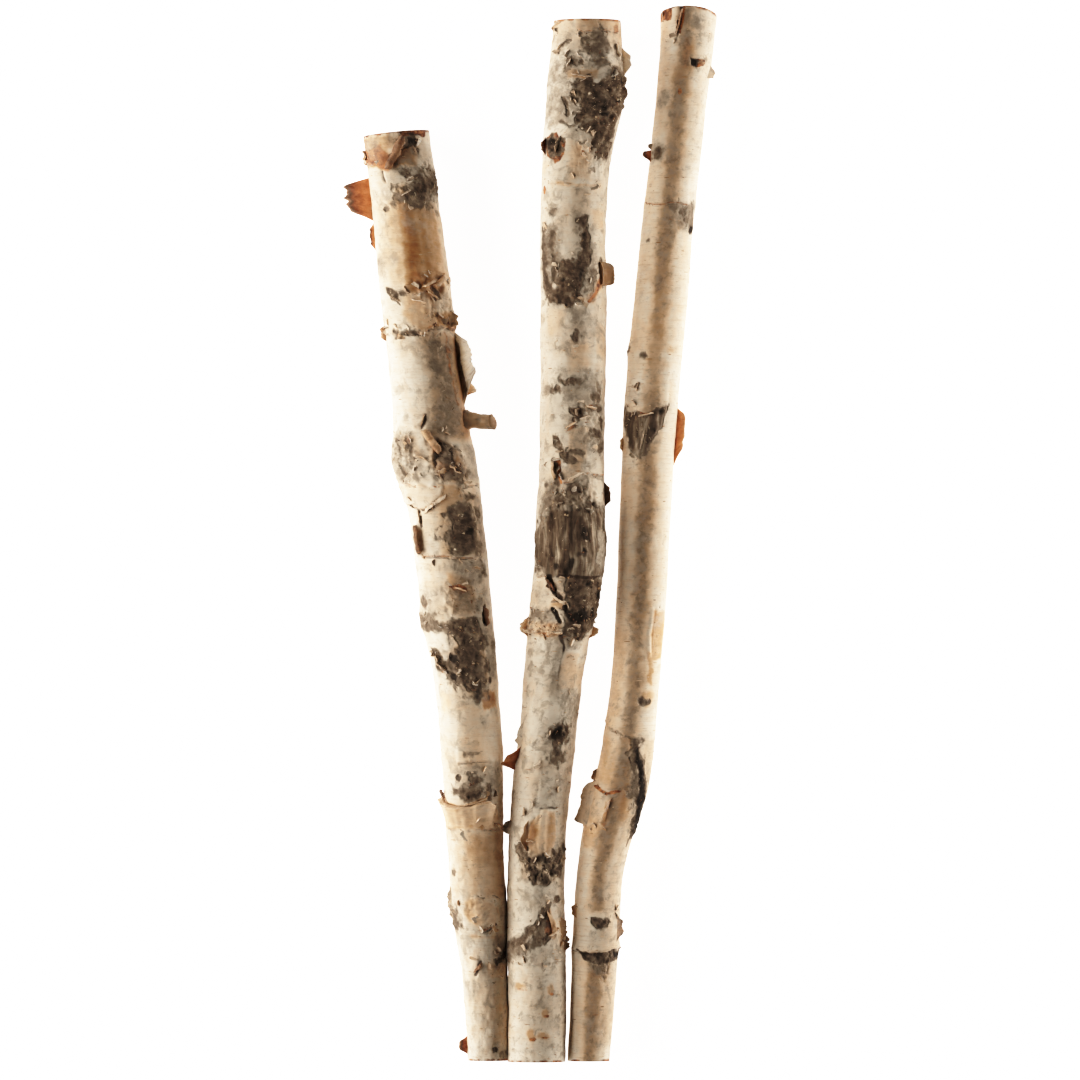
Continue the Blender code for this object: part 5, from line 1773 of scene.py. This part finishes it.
# %% [markdown]
# ## Pores and flakes
#
# A birch breathes through lenticels, short corky ridges that all run round the trunk, and where
# the bark is broken it sheds flakes. Hundreds of them differ only in size and turn, so Geometry
# Nodes scatter two small shapes over the bark: one tree for the ridges, which follow the girth,
# and one for the flakes, which stand up only where the loose mask says so.

# %% Small helpers for Geometry Nodes


def scatter_tree(name, numbers):
    """A geometry tree with Geometry, the named numbers, a Seed and a Material as inputs."""
    tree = bpy.data.node_groups.new(name, "GeometryNodeTree")
    tree.is_modifier = True
    tree.interface.new_socket("Geometry", in_out="INPUT", socket_type="NodeSocketGeometry")
    for number_name, default in numbers:
        tree.interface.new_socket(number_name, in_out="INPUT", socket_type=NUMBER).default_value = default
    tree.interface.new_socket("Seed", in_out="INPUT", socket_type="NodeSocketInt")
    tree.interface.new_socket("Material", in_out="INPUT", socket_type="NodeSocketMaterial")
    tree.interface.new_socket("Geometry", in_out="OUTPUT", socket_type="NodeSocketGeometry")
    return tree, tree.nodes.new("NodeGroupInput").outputs, tree.nodes.new("NodeGroupOutput")


def chance(tree, low, high, seed):
    """A random number for each point; seed is added to the tree's own seed."""
    given = plus(tree, seed[0], seed[1])
    return put(tree, "FunctionNodeRandomValue", {2: low, 3: high, 8: given}, data_type="FLOAT").outputs[1]


def named(tree, name):
    return put(tree, "GeometryNodeInputNamedAttribute", {"Name": name}, data_type="FLOAT").outputs[0]


def vector(tree, x=0.0, y=0.0, z=0.0):
    return put(tree, "ShaderNodeCombineXYZ", {"X": x, "Y": y, "Z": z}).outputs[0]


def finish_scatter(tree, given, result, points, shape, rotation, scale, tone):
    """Puts the shape on every point, stores its tone, realizes it and gives it the material."""
    put_on = put(
        tree, "GeometryNodeInstanceOnPoints",
        {"Points": points, "Instance": shape, "Rotation": rotation, "Scale": scale},
    )
    stored = {"Geometry": put_on.outputs[0], "Name": "tone", "Value": tone}
    toned = put(tree, "GeometryNodeStoreNamedAttribute", stored, data_type="FLOAT", domain="INSTANCE")
    real = put(tree, "GeometryNodeRealizeInstances", {"Geometry": toned.outputs[0]})
    coated = {"Geometry": real.outputs[0], "Material": given["Material"]}
    fill(tree, result, {0: put(tree, "GeometryNodeSetMaterial", coated).outputs[0]})


# %% The tree for lenticels


def lenticel_tree():
    tree, given, result = scatter_tree(
        "lenticels_round_the_log", [("Per square metre", 2400.0), ("Longest", 0.006), ("Height", 0.0004)]
    )
    sound = sums(tree, "SUBTRACT", 1.0, times(tree, named(tree, "scar"), 4.0), clamp=True)
    place = put(
        tree, "GeometryNodeDistributePointsOnFaces",
        {"Mesh": given["Geometry"], "Density": times(tree, given["Per square metre"], sound),
         "Seed": given["Seed"]},
    )
    normal = place.outputs["Normal"]
    up_log = vector(tree, y=1.0)
    girth = put(tree, "ShaderNodeVectorMath", {0: up_log, 1: normal}, operation="CROSS_PRODUCT").outputs[0]
    turned = put(
        tree, "FunctionNodeAlignRotationToVector", {"Rotation": place.outputs["Rotation"], "Vector": girth},
        axis="X", pivot_axis="Z",
    )
    skewed = chance(tree, 0.0, 1.0, (given["Seed"], 1))
    length = times(tree, sums(tree, "POWER", skewed, 2.2), given["Longest"])
    length = times(tree, plus(tree, length, 0.0012), 0.5)
    width = chance(tree, 0.00022, 0.00042, (given["Seed"], 2))
    lens = put(tree, "GeometryNodeMeshUVSphere", {"Segments": 8, "Rings": 4, "Radius": 1.0})
    finish_scatter(
        tree, given, result, place.outputs["Points"], lens.outputs["Mesh"], turned.outputs[0],
        vector(tree, length, width, given["Height"]), chance(tree, 0.0, 1.0, (given["Seed"], 3)),
    )
    return tree


# %% The tree for flakes


def flake_tree():
    tree, given, result = scatter_tree(
        "flakes_of_loose_bark", [("Per square metre", 42000.0), ("Smallest", 0.0012), ("Largest", 0.0050)]
    )
    density = times(tree, given["Per square metre"], named(tree, "loose"))
    place = put(
        tree, "GeometryNodeDistributePointsOnFaces",
        {"Mesh": given["Geometry"], "Density": density, "Seed": given["Seed"]},
    )
    slab = put(
        tree, "GeometryNodeMeshCube",
        {"Size": (1.0, 0.7, 0.09), "Vertices X": 5, "Vertices Y": 3, "Vertices Z": 2},
    )
    at = put(tree, "ShaderNodeSeparateXYZ", {0: put(tree, "GeometryNodeInputPosition").outputs[0]})
    from_root = plus(tree, at.outputs["X"], 0.5)
    curled = times(tree, times(tree, from_root, from_root), 0.45)
    narrowing = sums(tree, "SUBTRACT", 1.0, times(tree, from_root, 0.55))
    shaped = vector(
        tree, from_root, times(tree, at.outputs["Y"], narrowing),
        plus(tree, at.outputs["Z"], curled),
    )
    flake = put(tree, "GeometryNodeSetPosition", {"Geometry": slab.outputs["Mesh"], "Position": shaped})

    rotation = place.outputs["Rotation"]
    spin = chance(tree, 0.0, 6.283, (given["Seed"], 1))
    lift = chance(tree, -0.75, -0.08, (given["Seed"], 2))
    for axis, angle in (((0.0, 0.0, 1.0), spin), ((0.0, 1.0, 0.0), lift)):
        turn = put(tree, "FunctionNodeAxisAngleToRotation", {"Axis": axis, "Angle": angle}).outputs[0]
        both = {"Rotation": rotation, "Rotate By": turn}
        rotation = put(tree, "FunctionNodeRotateRotation", both, rotation_space="LOCAL").outputs[0]
    spread = sums(tree, "SUBTRACT", given["Largest"], given["Smallest"])
    skewed = sums(tree, "POWER", chance(tree, 0.0, 1.0, (given["Seed"], 3)), 2.0)
    size = plus(tree, given["Smallest"], times(tree, skewed, spread))
    finish_scatter(
        tree, given, result, place.outputs["Points"], flake.outputs[0], rotation,
        vector(tree, size, size, size), chance(tree, 0.0, 1.0, (given["Seed"], 4)),
    )
    return tree


# %% Materials for pores and flakes


def toned_material(name, rough, *stops):
    """A material whose colour follows the tone attribute, with a fine grain."""
    material, tree, shader = shader_of(name)
    at = put(tree, "ShaderNodeTexCoord").outputs["Object"]
    grain = cloud_node(tree, at, 0.0012, 3, 0.6)
    level = plus(tree, attribute(tree, "tone"), swing(tree, grain, 0.5))
    tone = tone_ramp(tree, level, *stops)
    fill(tree, shader, {"Base Color": tone, "Roughness": rough, "Specular IOR Level": 0.3})
    return material


pore_cork = toned_material(
    "lenticel_cork", 0.75,
    (0.0, 0.74, 0.58, 0.42), (0.45, 0.62, 0.44, 0.28), (0.8, 0.44, 0.25, 0.13), (1.0, 0.27, 0.14, 0.08),
)
flake_bark = toned_material(
    "loose_bark_flakes", 0.75,
    (0.0, 0.82, 0.70, 0.55), (0.35, 0.62, 0.47, 0.32), (0.55, 0.42, 0.27, 0.16), (0.75, 0.24, 0.12, 0.07),
    (1.0, 0.10, 0.07, 0.05),
)

# %% Scatter them over each log


def scattered(name, source, tree, material, seed, **numbers):
    """Runs a tree on the bark, keeps the result as a plain mesh and gives the finished piece."""
    carrier = in_scene(name + "_carrier", source.data)
    modifier = carrier.modifiers.new("scatter", "NODES")
    modifier.node_group = tree
    values = dict(numbers, Seed=seed, Material=material)
    for item in tree.interface.items_tree:
        if item.in_out == "INPUT" and item.name.replace(" ", "_") in values:
            modifier[item.identifier] = values[item.name.replace(" ", "_")]
    evaluated = carrier.evaluated_get(bpy.context.evaluated_depsgraph_get())
    mesh = bpy.data.meshes.new_from_object(evaluated)
    mesh.name = name
    carrier.modifiers.remove(modifier)
    bpy.data.objects.remove(carrier)
    mesh.materials.clear()  # the conversion leaves an empty first slot
    mesh.materials.append(material)
    mesh.polygons.foreach_set("material_index", np.zeros(len(mesh.polygons), np.int32))
    mesh.shade_smooth()
    piece = in_scene(name, mesh)
    print(name, len(mesh.polygons), "faces")
    return piece


LENTICELS, FLAKES = lenticel_tree(), flake_tree()
pore_amounts = {"left_log": 1800.0, "middle_log": 1500.0, "right_log": 2600.0}
for number, (name, source) in enumerate(bark_objects.items()):
    short = name.replace("_log", "")
    pores = scattered(short + "_lenticels", source, LENTICELS, pore_cork, 11 + number,
                      Per_square_metre=pore_amounts[name])
    flakes = scattered(short + "_flakes", source, FLAKES, flake_bark, 31 + number)
    for piece in (pores, flakes):
        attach(piece, BODY)
        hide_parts(name)

# %% [markdown]
# ## Floor, light and camera
#
# The bundle lies on a glowing white floor, as on a light table, and the camera looks straight
# down on it. Tall softboxes stand low on the left and the right, so each log is bright along
# both sides and darker along its crown, which shows its roundness. Film does not record light in
# proportion: it deepens the darks and rolls off the brights. A tone curve does the same here.

# %% Floor
FLOOR_SIZE = 12.0


def pale_floor():
    bpy.ops.mesh.primitive_plane_add(size=FLOOR_SIZE, location=(0, 0, -0.0002))
    floor = bpy.context.object
    floor.name = "floor"
    material, tree, shader = shader_of("pale_floor")
    fill(tree, shader, {"Base Color": (0.9, 0.9, 0.9, 1), "Roughness": 0.9, "Emission Color": (1, 1, 1, 1),
                        "Emission Strength": 1.18})
    floor.data.materials.append(material)


pale_floor()

# %% Lights
AIM = Vector((0.0, 0.0, 0.03))
STUDIO_WARMTH = (1.0, 0.94, 0.86)
LEFT, RIGHT = -1, 1


def softbox(name, side, low, high, power, distance=1.6, length=2.6):
    """A strip of soft light on one side, from low to high degrees over the floor."""
    middle_angle = math.radians((low + high) / 2)
    half = math.radians((high - low) / 2)
    light = bpy.data.lights.new(name, "AREA")
    light.shape = "RECTANGLE"
    light.size = length
    light.size_y = 2 * distance * math.tan(half)
    light.energy = power
    light.color = STUDIO_WARMTH
    obj = in_scene(name, light)
    direction = Vector((side * math.cos(middle_angle), 0.0, math.sin(middle_angle)))
    obj.location = AIM + direction * distance
    obj.rotation_euler = direction.to_track_quat("Z", "Y").to_euler()


softbox("left_low", LEFT, 1, 13, 7.5)
softbox("left_main", LEFT, 13, 27, 16.5)
softbox("left_high", LEFT, 30, 46, 12.5)
softbox("right_low", RIGHT, 1, 13, 2.5, distance=0.5, length=1.4)
softbox("right_main", RIGHT, 13, 27, 7)


def studio_world():
    """Next to no light of its own, but white to the eye past the floor's far edge."""
    world = bpy.data.worlds.new("studio")
    world.use_nodes = True
    tree = world.node_tree
    dim = fill(tree, tree.nodes["Background"], {"Color": (1.0, 0.92, 0.82, 1), "Strength": 0.01})
    white = put(tree, "ShaderNodeBackground", {"Color": (1, 1, 1, 1), "Strength": 1.5})
    seen = put(tree, "ShaderNodeLightPath").outputs["Is Camera Ray"]
    both = put(tree, "ShaderNodeMixShader", {0: seen, 1: dim.outputs[0], 2: white.outputs[0]})
    fill(tree, tree.nodes["World Output"], {"Surface": both.outputs[0]})
    return world


bpy.context.scene.world = studio_world()

# %% The film's tone curve
WHITE_AT = 1.6
DEVELOPED, DEEPENED = 2.6, 1.5  # how soon the film reaches white, and how much it deepens the darks


def set_tone_curve():
    view = bpy.context.scene.view_settings
    view.view_transform = "Standard"
    view.use_curve_mapping = True
    mapping = view.curve_mapping
    mapping.white_level = (WHITE_AT, WHITE_AT, WHITE_AT)
    mapping.extend = "HORIZONTAL"
    curve = mapping.curves[3]
    for light in (0.05, 0.1, 0.2, 0.3, 0.45, 0.6, 0.8, 1.0, 1.25):
        curve.points.new(light / WHITE_AT, 1 - math.exp(-DEVELOPED * light**DEEPENED))
    mapping.update()


set_tone_curve()

# %% Camera
VIEW_WIDTH = 972.0  # millimetres across the frame, at the logs' own height
VIEW_DISTANCE = 3000.0
VIEW_CENTRE = (9.5, -2.2)
AXIS_HEIGHT = 27.0
SENSOR = 36.0

camera = in_scene("camera", bpy.data.cameras.new("camera"))
camera.data.sensor_width = SENSOR
camera.data.lens = SENSOR * VIEW_DISTANCE / VIEW_WIDTH
camera.location = (VIEW_CENTRE[0] * MM, VIEW_CENTRE[1] * MM, (VIEW_DISTANCE + AXIS_HEIGHT) * MM)
camera.data.clip_end = 50.0
bpy.context.scene.camera = camera
